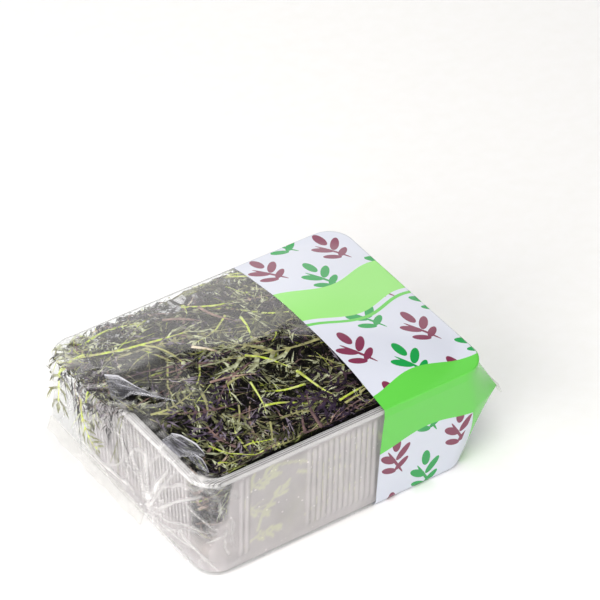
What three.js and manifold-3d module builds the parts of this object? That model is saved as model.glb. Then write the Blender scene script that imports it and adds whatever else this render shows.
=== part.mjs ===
// A pack of red mizuna: a clear, ribbed plastic tray heaped with loose, finely cut salad leaves and
// sealed in a thin flow-wrap film. The tray carries the load, the heap lies in it, a few larger
// leaves lie on the heap under the film, and some leaves hang over the tray's left end.
// Millimetres, +Z up. X runs along the pack, and the end with the leaves that hang out is at -X.
import * as THREE from "three";
import { mergeVertices } from "three/addons/utils/BufferGeometryUtils.js";
import Module from "manifold-3d";

const wasm = await Module();
wasm.setup();
const { Manifold } = wasm;

// Whole numbers from first to last.
function steps(first, last) {
  return Array.from({ length: last - first + 1 }, (_, i) => first + i);
}

// Driving dimensions
const TRAY = {
  length: 190,
  width: 148,
  rimZ: 75,
  baseZ: 0.9,
  wall: 0.8,
  flange: 5,
  lip: 3,
  draft: 3,
  baseRound: 2.5,
  rimCorner: 16,
  wallCorner: 13,
};
const RIB = {
  pitch: 3.7,
  width: 2,
  depth: 0.8,
  lowZ: 8,
  highZ: 67,
  fade: 3,
  longWall: [-18, -17, ...steps(-6, 6), 17, 18],
  endWall: steps(-13, 13),
};
const FILM = { thick: 0.6, edgeZ: 77.4, backRise: 1.1, dome: 9, sealZ: 44, reach: 111, pleat: 1.1 };
const HEAP = { top: 66, inset: 7, clear: 1.1, blade: 0.7, topLeaves: 36, sideLeaves: 18 };
const SPILL = { leaves: 6, fromY: -2, toY: 50, hangZ: 46, width: 8, sweep: -0.1 };
const LAID = { upperDepth: 1.7, lowerDepth: 3.1, blade: 0.7, segments: 9 };
const LAID_LEAVES = [
  { x: -82, y: 44, heading: -12, length: 84, width: 11, seed: 11, layer: "upper" },
  { x: -30, y: 2, heading: 14, length: 80, width: 12, seed: 12, layer: "upper" },
  { x: -84, y: -8, heading: -38, length: 66, width: 11, seed: 13, layer: "upper" },
  { x: 82, y: -44, heading: 176, length: 78, width: 11, seed: 14, layer: "upper" },
  { x: -20, y: 60, heading: -122, length: 74, width: 12, seed: 15, layer: "lower" },
  { x: 12, y: -60, heading: 80, length: 64, width: 11, seed: 16, layer: "lower" },
  { x: 80, y: 52, heading: 196, length: 64, width: 12, seed: 17, layer: "lower" },
  { x: -82, y: -52, heading: 26, length: 66, width: 11, seed: 18, layer: "lower" },
];

const FINISH = {
  tray: { color: 0xdcdfe2, roughness: 0.12, metalness: 0, transparent: true, opacity: 0.35 },
  film: { color: 0xf2f5f6, roughness: 0.08, metalness: 0, transparent: true, opacity: 0.25 },
  heap: { color: 0x3b2a3a, roughness: 0.75, metalness: 0 },
  upper: { color: 0x8fa548, roughness: 0.7, metalness: 0 },
  lower: { color: 0x4a3148, roughness: 0.7, metalness: 0 },
};

const LOBE_SWEEP = 0.35;
const GOLDEN = (Math.sqrt(5) - 1) / 2;

// Seeded random numbers from 0 to 1, so that the pack comes out the same each time.
function randoms(seed) {
  let state = seed >>> 0;
  return () => {
    state = (state * 1664525 + 1013904223) >>> 0;
    return state / 4294967296;
  };
}

const between = (next, low, high) => low + (high - low) * next();
const mix = (a, b, t) => a + (b - a) * t;
const clamp = (v, low, high) => Math.min(high, Math.max(low, v));
const toRadians = (degrees) => (degrees * Math.PI) / 180;

// A closed solid from a geometry.
function solidFrom(geometry) {
  geometry.deleteAttribute("normal");
  geometry.deleteAttribute("uv");
  const merged = mergeVertices(geometry, 1e-4);
  return new Manifold(
    new wasm.Mesh({
      numProp: 3,
      vertProperties: merged.attributes.position.array,
      triVerts: new Uint32Array(merged.index.array),
    }),
  );
}

// A closed solid from points and triangles.
function solidOf(points, triangles) {
  const geometry = new THREE.BufferGeometry();
  geometry.setAttribute("position", new THREE.Float32BufferAttribute(points.flat(), 3));
  geometry.setIndex(triangles.flat());
  return solidFrom(geometry);
}

// A named mesh from a solid.
function meshOf(name, solid, finish) {
  const made = solid.getMesh();
  const positions = new Float32Array(made.numVert * 3);
  for (let i = 0; i < made.numVert; i++) {
    positions.set(made.vertProperties.subarray(i * made.numProp, i * made.numProp + 3), i * 3);
  }
  const geometry = new THREE.BufferGeometry();
  geometry.setAttribute("position", new THREE.BufferAttribute(positions, 3));
  geometry.setIndex(new THREE.BufferAttribute(made.triVerts, 1));
  const mesh = new THREE.Mesh(geometry, new THREE.MeshStandardMaterial(finish));
  mesh.name = name;
  return mesh;
}

// A closed skin over rings of equally many points, from the lowest ring to the highest.
function loft(rings) {
  const count = rings[0].length;
  const points = rings.flat();
  const triangles = [];
  for (let level = 0; level + 1 < rings.length; level++) {
    for (let i = 0; i < count; i++) {
      const a = level * count + i;
      const b = level * count + ((i + 1) % count);
      triangles.push([a, b, b + count], [a, b + count, a + count]);
    }
  }
  const closeEnd = (ring, first, below) => {
    const centre = points.length;
    points.push([0, 1, 2].map((axis) => ring.reduce((sum, p) => sum + p[axis], 0) / count));
    for (let i = 0; i < count; i++) {
      const next = (i + 1) % count;
      triangles.push(below ? [first + next, first + i, centre] : [first + i, first + next, centre]);
    }
  };
  closeEnd(rings[0], 0, true);
  closeEnd(rings[rings.length - 1], (rings.length - 1) * count, false);
  return solidOf(points, triangles);
}

// Tray: one thermoformed sheet with a flanged rim, slightly drafted walls and upright ribs.

// A rounded rectangle at a height.
function roundedRing(halfX, halfY, radius, z) {
  const steps = 5;
  const corners = [
    [halfX - radius, -halfY + radius],
    [halfX - radius, halfY - radius],
    [-halfX + radius, halfY - radius],
    [-halfX + radius, -halfY + radius],
  ];
  return corners.flatMap(([x, y], n) =>
    Array.from({ length: steps + 1 }, (_, i) => {
      const angle = toRadians(90 * (n - 1 + i / steps));
      return [x + radius * Math.cos(angle), y + radius * Math.sin(angle), z];
    }),
  );
}

// Half-length and half-width of the tray's outer wall at a height.
function wallAt(z) {
  const drafted = (TRAY.draft * (TRAY.rimZ - z)) / (TRAY.rimZ - TRAY.baseZ);
  return [TRAY.length / 2 - TRAY.flange - drafted, TRAY.width / 2 - TRAY.flange - drafted];
}

function wallRing(z, inset) {
  const [halfX, halfY] = wallAt(z);
  return roundedRing(halfX - inset, halfY - inset, TRAY.wallCorner - inset, z);
}

// A plate of the rim's outline, drawn in by inset.
function rimPlate(inset, fromZ, toZ) {
  const ringAt = (z) =>
    roundedRing(TRAY.length / 2 - inset, TRAY.width / 2 - inset, TRAY.rimCorner - inset, z);
  return loft([ringAt(fromZ), ringAt(toZ)]);
}

// Ribs stand out of the walls by their depth and fade into them at both ends. onLong says that a
// rib is on one of the two long walls, and along is its place there.
function rib(onLong, sign, along) {
  const wall = (z) => wallAt(z)[onLong ? 1 : 0];
  const root = TRAY.wall / 2;
  const profile = [
    [wall(RIB.lowZ) - root, RIB.lowZ],
    [wall(RIB.lowZ + RIB.fade) + RIB.depth, RIB.lowZ + RIB.fade],
    [wall(RIB.highZ - RIB.fade) + RIB.depth, RIB.highZ - RIB.fade],
    [wall(RIB.highZ) - root, RIB.highZ],
  ].map(([out, z]) => new THREE.Vector2(out, z));
  const bar = new THREE.ExtrudeGeometry(new THREE.Shape(profile), {
    depth: RIB.width,
    bevelEnabled: false,
  });
  bar.translate(0, 0, -RIB.width / 2).rotateX(Math.PI / 2);
  bar.rotateZ(toRadians((onLong ? 90 : 0) + (sign > 0 ? 0 : 180)));
  return solidFrom(onLong ? bar.translate(along, 0, 0) : bar.translate(0, along, 0));
}

function ribs() {
  const made = [];
  for (const sign of [-1, 1]) {
    for (const n of RIB.longWall) made.push(rib(true, sign, n * RIB.pitch));
    for (const n of RIB.endWall) made.push(rib(false, sign, n * RIB.pitch));
  }
  return Manifold.union(made);
}

function makeTray() {
  const floorZ = TRAY.baseZ + TRAY.wall;
  const lipZ = TRAY.rimZ - TRAY.lip;
  const outside = loft([
    wallRing(TRAY.baseZ, TRAY.baseRound),
    wallRing(TRAY.baseZ + TRAY.baseRound, 0),
    wallRing(TRAY.rimZ, 0),
  ]);
  const inside = loft([
    wallRing(floorZ, TRAY.baseRound + TRAY.wall),
    wallRing(floorZ + TRAY.baseRound, TRAY.wall),
    wallRing(TRAY.rimZ + 1, TRAY.wall),
  ]);
  const underFlange = rimPlate(TRAY.wall, lipZ - 1, TRAY.rimZ - TRAY.wall);
  const flange = rimPlate(0, lipZ, TRAY.rimZ).subtract(underFlange);
  return outside.add(ribs()).add(flange).subtract(inside);
}

// Film: one sheet around the tray and the heap, drawn tight over rim and base, and brought together
// at each end in a crimped seal. The corners of each end are tucked in towards the seal.

// Levels of the film. ends are half-lengths and cuts are the corners' size along X and Y, for the
// near right, far right, far left and near left corner. The leaves that hang out push the far left
// corner away from the tray. round is 1 where a corner is an arc and 0 where it is a straight fold.
const evenCuts = (size) => [0, 1, 2, 3].map(() => [size, size]);
const SEAL_CUTS = [
  [22, 9],
  [22, 9],
  [24, 15],
  [27, 31],
];
const SEAL_LEVEL = {
  z: FILM.sealZ,
  ends: [FILM.reach, FILM.reach, FILM.reach, FILM.reach],
  side: 71.8,
  round: 0.3,
  cuts: SEAL_CUTS,
};
const RIM_LEVEL = { z: 70.5, ends: [96.6, 96.6, 107, 96.6], side: 75.3, round: 1, cuts: evenCuts(17) };
const FILM_LEVELS = [
  { z: 0, ends: [87.7, 87.7, 87.7, 87.7], side: 66.7, round: 1, cuts: evenCuts(13) },
  { z: 2.6, ends: [89.3, 89.3, 90.2, 89.3], side: 68.3, round: 1, cuts: evenCuts(14) },
  SEAL_LEVEL,
  RIM_LEVEL,
  { z: 76.2, ends: [96, 96, 106, 96], side: 75.1, round: 1, cuts: evenCuts(15.5) },
];
const CORNER_SIGNS = [
  [1, -1],
  [1, 1],
  [-1, 1],
  [-1, -1],
];

// One ring of the film: sides, pleated ends and tucked corners. inset is the film's thickness on
// the inner skin.
function filmRing({ z, ends, side, round, cuts }, inset) {
  const halfY = side - inset;
  const corners = CORNER_SIGNS.map(([sx, sy], n) => {
    const halfX = ends[n] - inset;
    const [cutX, cutY] = cuts[n];
    return {
      onSide: [sx * (halfX - cutX), sy * halfY],
      onEnd: [sx * halfX, sy * (halfY - cutY)],
      centre: [sx * (halfX - cutX), sy * (halfY - cutY)],
    };
  });
  const ring = [];
  const line = (from, to, steps, pleat) => {
    for (let i = 0; i < steps; i++) {
      const t = i / steps;
      ring.push([mix(from[0], to[0], t) + (i % 2) * pleat, mix(from[1], to[1], t), z]);
    }
  };
  const corner = (from, to, centre) => {
    const steps = 4;
    for (let i = 0; i < steps; i++) {
      const t = i / steps;
      const angle = (t * Math.PI) / 2;
      const place = (k) => {
        const arc =
          centre[k] + (from[k] - centre[k]) * Math.cos(angle) + (to[k] - centre[k]) * Math.sin(angle);
        return mix(mix(from[k], to[k], t), arc, round);
      };
      ring.push([place(0), place(1), z]);
    }
  };
  const [nearRight, farRight, farLeft, nearLeft] = corners;
  const pleat = FILM.pleat * (1 - round);
  line(nearLeft.onSide, nearRight.onSide, 5, 0);
  corner(nearRight.onSide, nearRight.onEnd, nearRight.centre);
  line(nearRight.onEnd, farRight.onEnd, 12, -pleat);
  corner(farRight.onEnd, farRight.onSide, farRight.centre);
  line(farRight.onSide, farLeft.onSide, 5, 0);
  corner(farLeft.onSide, farLeft.onEnd, farLeft.centre);
  line(farLeft.onEnd, nearLeft.onEnd, 12, pleat);
  corner(nearLeft.onEnd, nearLeft.onSide, nearLeft.centre);
  return ring;
}

// Height of the film's top. share is 0 in the middle and 1 at the edge.
function domeZ(y, share) {
  return FILM.edgeZ + (FILM.backRise * y) / (TRAY.width / 2) + FILM.dome * (1 - share * share);
}

// The same height at a place over the tray.
function domeOver(x, y) {
  const power = 8;
  const share = ((2 * Math.abs(x)) / TRAY.length) ** power + ((2 * Math.abs(y)) / TRAY.width) ** power;
  return domeZ(y, Math.min(1, share ** (1 / power)));
}

function filmSkin(inset) {
  const walls = FILM_LEVELS.map((level) => filmRing({ ...level, z: Math.max(level.z, inset) }, inset));
  const edge = walls[walls.length - 1];
  const top = [0.985, 0.84, 0.62, 0.38, 0.16].map((share) =>
    edge.map(([x, y]) => [x * share, y * share, domeZ(y * share, share) - inset]),
  );
  return loft([...walls, ...top]);
}

// The crimped end seal: a thin strip beyond each end, its free edge bent down.
function sealStrip(right) {
  const sign = right ? 1 : -1;
  const [nearCut, farCut] = right ? [SEAL_CUTS[0][1], SEAL_CUTS[1][1]] : [SEAL_CUTS[3][1], SEAL_CUTS[2][1]];
  const farY = SEAL_LEVEL.side - farCut;
  const outline = [
    [-2, 0.6],
    [1.5, 0.6],
    [4.5, -7],
    [3.6, -7.3],
    [0.6, -0.6],
    [-2, -0.6],
  ].map(([x, z]) => new THREE.Vector2(sign * (FILM.reach + x), FILM.sealZ + z));
  const strip = new THREE.ExtrudeGeometry(new THREE.Shape(outline), {
    depth: 2 * SEAL_LEVEL.side - nearCut - farCut,
    bevelEnabled: false,
  });
  return solidFrom(strip.rotateX(Math.PI / 2).translate(0, farY, 0));
}

// Small round perforations that let the leaves breathe: four in the top and four in the back.
function perforations() {
  const bore = new THREE.CylinderGeometry(1.1, 1.1, 16, 6);
  const inTop = [44, 80].flatMap((x) =>
    [-20, 34].map((y) => bore.clone().rotateX(Math.PI / 2).translate(x, y, 82)),
  );
  const inBack = [-60, -20, 20, 60].map((x) => bore.clone().translate(x, 74, 45));
  return Manifold.union([...inTop, ...inBack].map(solidFrom));
}

function makeFilm() {
  const outside = filmSkin(0).add(sealStrip(true)).add(sealStrip(false));
  return outside.subtract(filmSkin(FILM.thick)).subtract(perforations());
}

// Leaves: each is a thin arched blade whose pointed lobes are cut to the rib.

// A blade along stations, each with a point, a direction across and one off the blade.
// halfWidth gives the rib's half-width, and lobeTips the two lobe tips after a station, or null.
function blade(stations, thick, halfWidth, lobeTips) {
  const points = [];
  const put = (p, off) => {
    points.push(p.clone().addScaledVector(off, thick / 2).toArray());
    points.push(p.clone().addScaledVector(off, -thick / 2).toArray());
    return points.length / 2 - 1;
  };
  const edges = stations.map(({ point, across, off }, i) => {
    const w = halfWidth(i / (stations.length - 1));
    return [1, -1].map((sign) => put(point.clone().addScaledVector(across, sign * w), off));
  });
  const faces = [];
  const leftEdge = [edges[0][0]];
  const rightEdge = [edges[0][1]];
  for (let i = 0; i + 1 < stations.length; i++) {
    const [left, right] = edges[i];
    const [nextLeft, nextRight] = edges[i + 1];
    faces.push([left, right, nextRight], [left, nextRight, nextLeft]);
    const tips = lobeTips(i);
    if (tips) {
      const [leftTip, rightTip] = tips.map((tip) => put(tip, stations[i].off));
      faces.push([nextLeft, leftTip, left], [right, rightTip, nextRight]);
      leftEdge.push(leftTip);
      rightEdge.push(rightTip);
    }
    leftEdge.push(nextLeft);
    rightEdge.push(nextRight);
  }
  const rim = [...rightEdge, ...leftEdge.reverse()];
  const above = faces.map((face) => face.map((a) => 2 * a));
  const below = faces.map(([a, b, c]) => [2 * c + 1, 2 * b + 1, 2 * a + 1]);
  const around = rim.flatMap((a, i) => {
    const b = rim[(i + 1) % rim.length];
    return [
      [2 * a, 2 * a + 1, 2 * b + 1],
      [2 * a, 2 * b + 1, 2 * b],
    ];
  });
  return solidOf(points, [...above, ...below, ...around]);
}

// A lobe's tip. sweep is how far it points past the next station, as a share of the step there.
function lobeTip(stations, i, reach, sweep) {
  const ahead = stations[i + 1].point.clone().sub(stations[i].point);
  return stations[i + 1].point
    .clone()
    .addScaledVector(ahead, sweep)
    .addScaledVector(stations[i].across, reach);
}

// Brings a point inside the tray's walls and under the film's top.
function inPack(p, clear, under) {
  const [halfX, halfY] = wallAt(clamp(p.z, TRAY.baseZ, TRAY.rimZ));
  const radius = TRAY.wallCorner;
  const [cornerX, cornerY] = [halfX - radius, halfY - radius];
  const outX = Math.max(Math.abs(p.x) - cornerX, 0);
  const outY = Math.max(Math.abs(p.y) - cornerY, 0);
  const room = radius - TRAY.wall - clear;
  const scale = Math.min(1, room / Math.max(Math.hypot(outX, outY), 1e-6));
  const x = Math.sign(p.x) * (Math.min(Math.abs(p.x), cornerX) + outX * scale);
  const y = Math.sign(p.y) * (Math.min(Math.abs(p.y), cornerY) + outY * scale);
  return new THREE.Vector3(x, y, clamp(p.z, TRAY.baseZ + TRAY.wall + clear, domeOver(x, y) - under));
}

// A leaf that grows out of the heap. up is the side that it shows, and reach how far it lifts.
function heapLeaf({ root, heading, up, length, width, lift, curl, segments, clear, under, next }) {
  const side = new THREE.Vector3().crossVectors(up, heading).normalize();
  const points = Array.from({ length: segments + 1 }, (_, i) => {
    const t = i / segments;
    const free = root
      .clone()
      .addScaledVector(heading, length * t)
      .addScaledVector(up, lift * Math.sin(0.62 * Math.PI * t))
      .addScaledVector(side, curl * t * t);
    return inPack(free, clear, under);
  });
  const stations = points.map((point, i) => {
    const behind = points[Math.max(0, i - 1)];
    const along = points[Math.min(segments, i + 1)].clone().sub(behind).normalize();
    const across = new THREE.Vector3().crossVectors(up, along).normalize();
    return { point, across, off: new THREE.Vector3().crossVectors(along, across).normalize() };
  });
  const lobeTips = (i) => {
    if (i < 1) return null;
    const reach = width * Math.sin(Math.PI * (0.12 + (0.8 * (i + 0.5)) / segments));
    return [1, -1].map((sign) => {
      const tip = lobeTip(stations, i, sign * reach * between(next, 0.7, 1.1), LOBE_SWEEP);
      return inPack(tip.addScaledVector(stations[i].off, between(next, -2, 2)), clear, under);
    });
  };
  return blade(stations, HEAP.blade, (t) => mix(1.3, 0.45, t), lobeTips);
}

// The outline of the heap's core: a rectangle with cut corners, with five parts to a side.
function coreRing(halfX, halfY, z, rough, next) {
  const cut = 12;
  const corners = [
    [halfX, -halfY + cut],
    [halfX, halfY - cut],
    [halfX - cut, halfY],
    [-halfX + cut, halfY],
    [-halfX, halfY - cut],
    [-halfX, -halfY + cut],
    [-halfX + cut, -halfY],
    [halfX - cut, -halfY],
  ];
  return corners.flatMap((from, n) => {
    const to = corners[(n + 1) % corners.length];
    const parts = n % 2 ? 1 : 5;
    return Array.from({ length: parts }, (_, i) => {
      const flat = [mix(from[0], to[0], i / parts), mix(from[1], to[1], i / parts), z];
      return flat.map((v) => v + between(next, -rough, rough));
    });
  });
}

// The dense middle of the heap, with an uneven top, which the leaves stand out of.
function heapCore(next) {
  const [halfX, halfY] = wallAt(20).map((half) => half - TRAY.wall - HEAP.inset);
  const bottom = TRAY.baseZ + TRAY.wall + HEAP.clear;
  const ring = (inset, z, rough) => coreRing(halfX - inset, halfY - inset, z, rough, next);
  return loft([
    ring(5, bottom, 0),
    ring(0, bottom + 5, 0),
    ring(0, 24, 1.5),
    ring(-1, 40, 1.5),
    ring(0, HEAP.top - 7, 1.5),
    ring(8, HEAP.top - 1, 2),
    ring(24, HEAP.top + 3, 2),
    ring(42, HEAP.top + 5, 2),
  ]);
}

// Leaves over the top of the heap: their middles are spread evenly by the golden ratio.
function topLeaves(next) {
  return Array.from({ length: HEAP.topLeaves }, (_, n) => {
    const middle = [mix(-72, 72, (n + 0.5) / HEAP.topLeaves), mix(-52, 52, (n * GOLDEN) % 1)];
    const turn = between(next, 0, 2 * Math.PI);
    const length = between(next, 46, 74);
    const heading = new THREE.Vector3(Math.cos(turn), Math.sin(turn), between(next, 0.02, 0.12));
    const root = new THREE.Vector3(
      clamp(middle[0] - (heading.x * length) / 2, -74, 74),
      clamp(middle[1] - (heading.y * length) / 2, -52, 52),
      HEAP.top - 10,
    );
    return heapLeaf({
      root,
      heading: heading.normalize(),
      up: new THREE.Vector3(0, 0, 1),
      length,
      width: between(next, 9, 14),
      lift: between(next, 16, 26),
      curl: between(next, -12, 12),
      segments: 6,
      clear: HEAP.clear,
      under: between(next, 4.4, 9),
      next,
    });
  });
}

// Leaves that show through the walls: they stand on edge between the core and each wall.
function sideLeaves(next) {
  const walls = [
    { out: [0, -1], run: 60 },
    { out: [1, 0], run: 42 },
    { out: [0, 1], run: 60 },
    { out: [-1, 0], run: 42 },
  ];
  return Array.from({ length: HEAP.sideLeaves }, (_, n) => {
    const { out, run } = walls[n % walls.length];
    const up = new THREE.Vector3(out[0], out[1], 0);
    const along = new THREE.Vector3(-out[1], out[0], 0);
    const place = mix(-run, run, (n * GOLDEN) % 1);
    const half = wallAt(20)[out[0] ? 0 : 1];
    const turn = between(next, -0.6, 0.6) + (place > 0 ? Math.PI : 0);
    const root = along.clone().multiplyScalar(place);
    root.addScaledVector(up, half - TRAY.wall - HEAP.inset - 3).setZ(between(next, 18, 52));
    return heapLeaf({
      root,
      heading: along.multiplyScalar(Math.cos(turn)).setZ(Math.sin(turn)),
      up,
      length: between(next, 34, 52),
      width: between(next, 7, 11),
      lift: HEAP.inset + 4,
      curl: 0,
      segments: 5,
      clear: between(next, HEAP.clear, 4),
      under: 8,
      next,
    });
  });
}

// Leaves that hang over the rim at the left end, between the tray's end wall and the film.
function spillLeaves(next) {
  const [, , farLeft, nearLeft] = RIM_LEVEL.ends;
  const straight = RIM_LEVEL.side - RIM_LEVEL.cuts[2][1];
  return Array.from({ length: SPILL.leaves }, (_, n) => {
    const y = mix(SPILL.fromY, SPILL.toY, n / (SPILL.leaves - 1));
    const filmX = mix(nearLeft, farLeft, clamp((y + straight) / (2 * straight), 0, 1));
    const sheet = -filmX + 1.9 + (n % 3) * 0.9;
    const over = TRAY.rimZ + 1.3;
    const path = [
      [-66, 58],
      [-78, 67],
      [-87, over - 0.3],
      [-94, over],
      [sheet + 1.6, over - 1.2],
      [sheet, over - 9],
      [sheet, mix(over - 9, SPILL.hangZ, 0.5)],
      [sheet, SPILL.hangZ + between(next, 0, 7)],
    ];
    const last = path.length - 1;
    const sway = between(next, -4, 4);
    const stations = path.map(([x, z], i) => {
      const [behindX, behindZ] = path[Math.max(0, i - 1)];
      const [aheadX, aheadZ] = path[Math.min(last, i + 1)];
      return {
        point: new THREE.Vector3(x, y + (sway * i) / last, z),
        across: new THREE.Vector3(0, -1, 0),
        off: new THREE.Vector3(aheadZ - behindZ, 0, behindX - aheadX).normalize(),
      };
    });
    const lobeTips = (i) => {
      if (i < 1) return null;
      const reach = SPILL.width * Math.sin(Math.PI * (0.15 + (0.75 * i) / last));
      return [1, -1].map((sign) =>
        lobeTip(stations, i, sign * reach * between(next, 0.7, 1.1), SPILL.sweep),
      );
    };
    return blade(stations, HEAP.blade, (t) => mix(1.4, 0.5, t), lobeTips);
  });
}

// The heap is one body: its largest connected solid, without loose scraps.
function makeHeap() {
  const next = randoms(20);
  const pieces = [heapCore(next), ...topLeaves(next), ...sideLeaves(next), ...spillLeaves(next)];
  const bodies = Manifold.union(pieces).decompose();
  return bodies.reduce((a, b) => (b.volume() > a.volume() ? b : a));
}

// A larger leaf that lies on the heap and follows the curve of the film over it.
function laidLeaf({ x, y, heading, length, width, seed, layer }) {
  const next = randoms(seed);
  const depth = layer === "upper" ? LAID.upperDepth : LAID.lowerDepth;
  const onHeap = (px, py) => new THREE.Vector3(px, py, domeOver(px, py) - depth);
  const bend = between(next, -0.3, 0.3);
  const step = length / LAID.segments;
  const place = { x, y };
  const stations = Array.from({ length: LAID.segments + 1 }, (_, i) => {
    const angle = toRadians(heading) + (bend * i) / LAID.segments;
    const station = {
      point: onHeap(place.x, place.y),
      across: new THREE.Vector3(-Math.sin(angle), Math.cos(angle), 0),
      off: new THREE.Vector3(0, 0, 1),
    };
    place.x += step * Math.cos(angle);
    place.y += step * Math.sin(angle);
    return station;
  });
  const lobeTips = (i) => {
    if (i < 2) return null;
    const reach = width * Math.sin(Math.PI * (0.1 + (0.82 * (i + 0.5)) / LAID.segments));
    return [1, -1].map((sign) => {
      const tip = lobeTip(stations, i, sign * reach * between(next, 0.7, 1.1), LOBE_SWEEP);
      return onHeap(tip.x, tip.y);
    });
  };
  return blade(stations, LAID.blade, (t) => mix(1.5, 0.5, t), lobeTips);
}

const pack = new THREE.Group();
pack.add(meshOf("tray", makeTray(), FINISH.tray));
pack.add(meshOf("film_wrap", makeFilm(), FINISH.film));
pack.add(meshOf("mizuna_heap", makeHeap(), FINISH.heap));
LAID_LEAVES.forEach((leaf, n) => {
  pack.add(meshOf(`laid_leaf_${n + 1}`, laidLeaf(leaf), FINISH[leaf.layer]));
});

export default pack;
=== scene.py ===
import math
import random

import bmesh
import bpy
from mathutils import Matrix, Quaternion, Vector, noise
from mathutils.bvhtree import BVHTree


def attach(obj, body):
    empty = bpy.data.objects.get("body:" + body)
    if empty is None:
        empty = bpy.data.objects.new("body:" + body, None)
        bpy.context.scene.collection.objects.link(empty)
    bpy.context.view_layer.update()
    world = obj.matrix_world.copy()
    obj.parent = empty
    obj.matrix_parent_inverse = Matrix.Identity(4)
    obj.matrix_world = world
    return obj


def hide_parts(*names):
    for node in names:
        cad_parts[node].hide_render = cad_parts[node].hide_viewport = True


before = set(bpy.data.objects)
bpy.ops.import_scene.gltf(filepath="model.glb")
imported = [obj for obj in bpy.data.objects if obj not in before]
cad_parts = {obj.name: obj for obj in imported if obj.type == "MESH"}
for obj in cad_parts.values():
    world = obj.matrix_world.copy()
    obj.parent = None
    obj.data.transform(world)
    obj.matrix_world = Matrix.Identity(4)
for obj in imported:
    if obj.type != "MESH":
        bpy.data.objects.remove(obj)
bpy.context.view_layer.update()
scene = bpy.context.scene

# The pack lies on a white table in a small photo studio. A wide soft lamp hangs over it and two
# stand at its sides. Three more behind it are placed where the clear film mirrors them to the
# camera, as a pale veil over the back and the left end of the heap.
MM = 0.001
CAMERA = {"azimuth": -34.39, "elevation": 38.79, "distance": 2.0671, "lens": 209.5}
TARGET = Vector((0.07227, 0.07835, 0.030))


def linear(code):
    """An sRGB hex value as a linear colour."""
    parts = [int(code[i : i + 2], 16) / 255 for i in (0, 2, 4)]
    return [c / 12.92 if c <= 0.04045 else ((c + 0.055) / 1.055) ** 2.4 for c in parts] + [1]


def add(tree, kind, settings=None, inputs=None):
    """Adds a node. An input is a number, a colour, a socket, or a node for its first output."""
    made = tree.nodes.new("ShaderNode" + kind)
    for name, value in (settings or {}).items():
        if name == "stops":
            while len(made.color_ramp.elements) < len(value):
                made.color_ramp.elements.new(1)
            for element, (position, shade) in zip(made.color_ramp.elements, value):
                element.position = position
                element.color = shade
        else:
            setattr(made, name, value)
    for name, value in (inputs or {}).items():
        if isinstance(value, bpy.types.Node):
            value = value.outputs[0]
        if isinstance(value, bpy.types.NodeSocket):
            tree.links.new(value, made.inputs[name])
        else:
            made.inputs[name].default_value = value
    return made


def new_material(name):
    made = bpy.data.materials.new(name)
    made.use_nodes = True
    made.node_tree.nodes.clear()
    return made, made.node_tree


def shown(name, bm, material):
    """An object from a finished bmesh, smooth and at the origin."""
    mesh = bpy.data.meshes.new(name)
    bm.to_mesh(mesh)
    bm.free()
    mesh.materials.append(material)
    mesh.polygons.foreach_set("use_smooth", [True] * len(mesh.polygons))
    made = bpy.data.objects.new(name, mesh)
    scene.collection.objects.link(made)
    return made


tilt = math.radians(CAMERA["elevation"])
turn = math.radians(CAMERA["azimuth"])
back = Vector(
    (math.sin(turn) * math.cos(tilt), -math.cos(turn) * math.cos(tilt), math.sin(tilt))
)
camera_data = bpy.data.cameras.new("camera")
camera_data.sensor_width = 36
camera_data.lens = CAMERA["lens"]
camera = bpy.data.objects.new("camera", camera_data)
camera.location = TARGET + back * CAMERA["distance"]
camera.rotation_euler = (math.pi / 2 - tilt, 0, turn)
scene.collection.objects.link(camera)
scene.camera = camera

# Matt white laminate: even, with only the faintest grain.
table_white, tree = new_material("laminate_matt_white")
place = add(tree, "TexCoord")
grain = add(tree, "TexNoise", {}, {"Vector": place.outputs["Object"], "Scale": 90, "Detail": 3})
shade = add(
    tree,
    "ValToRGB",
    {"stops": [(0.3, linear("FAFAF9")), (0.7, linear("FDFDFD"))]},
    {"Fac": grain},
)
surface = add(tree, "BsdfPrincipled", {}, {"Base Color": shade, "Roughness": 0.7})
add(tree, "OutputMaterial", {}, {"Surface": surface})
bm = bmesh.new()
bmesh.ops.create_grid(bm, x_segments=4, y_segments=4, size=1.6)
bmesh.ops.translate(bm, verts=bm.verts, vec=(0, 0, -0.15 * MM))
table = shown("table", bm, table_white)

# The room is dim above and white round its foot, where the table's cove turns up.
world = bpy.data.worlds.new("studio")
world.use_nodes = True
tree = world.node_tree
room = tree.nodes["Background"]
way = add(tree, "TexCoord")
height = add(tree, "SeparateXYZ", {}, {0: way.outputs["Generated"]})
glow = add(tree, "MapRange", {}, {"Value": height.outputs[2], 1: 0.03, 2: 0.2, 3: 0.95, 4: 0.035})
room.inputs["Color"].default_value = linear("F6F8FA")
tree.links.new(glow.outputs[0], room.inputs["Strength"])
scene.world = world

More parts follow.
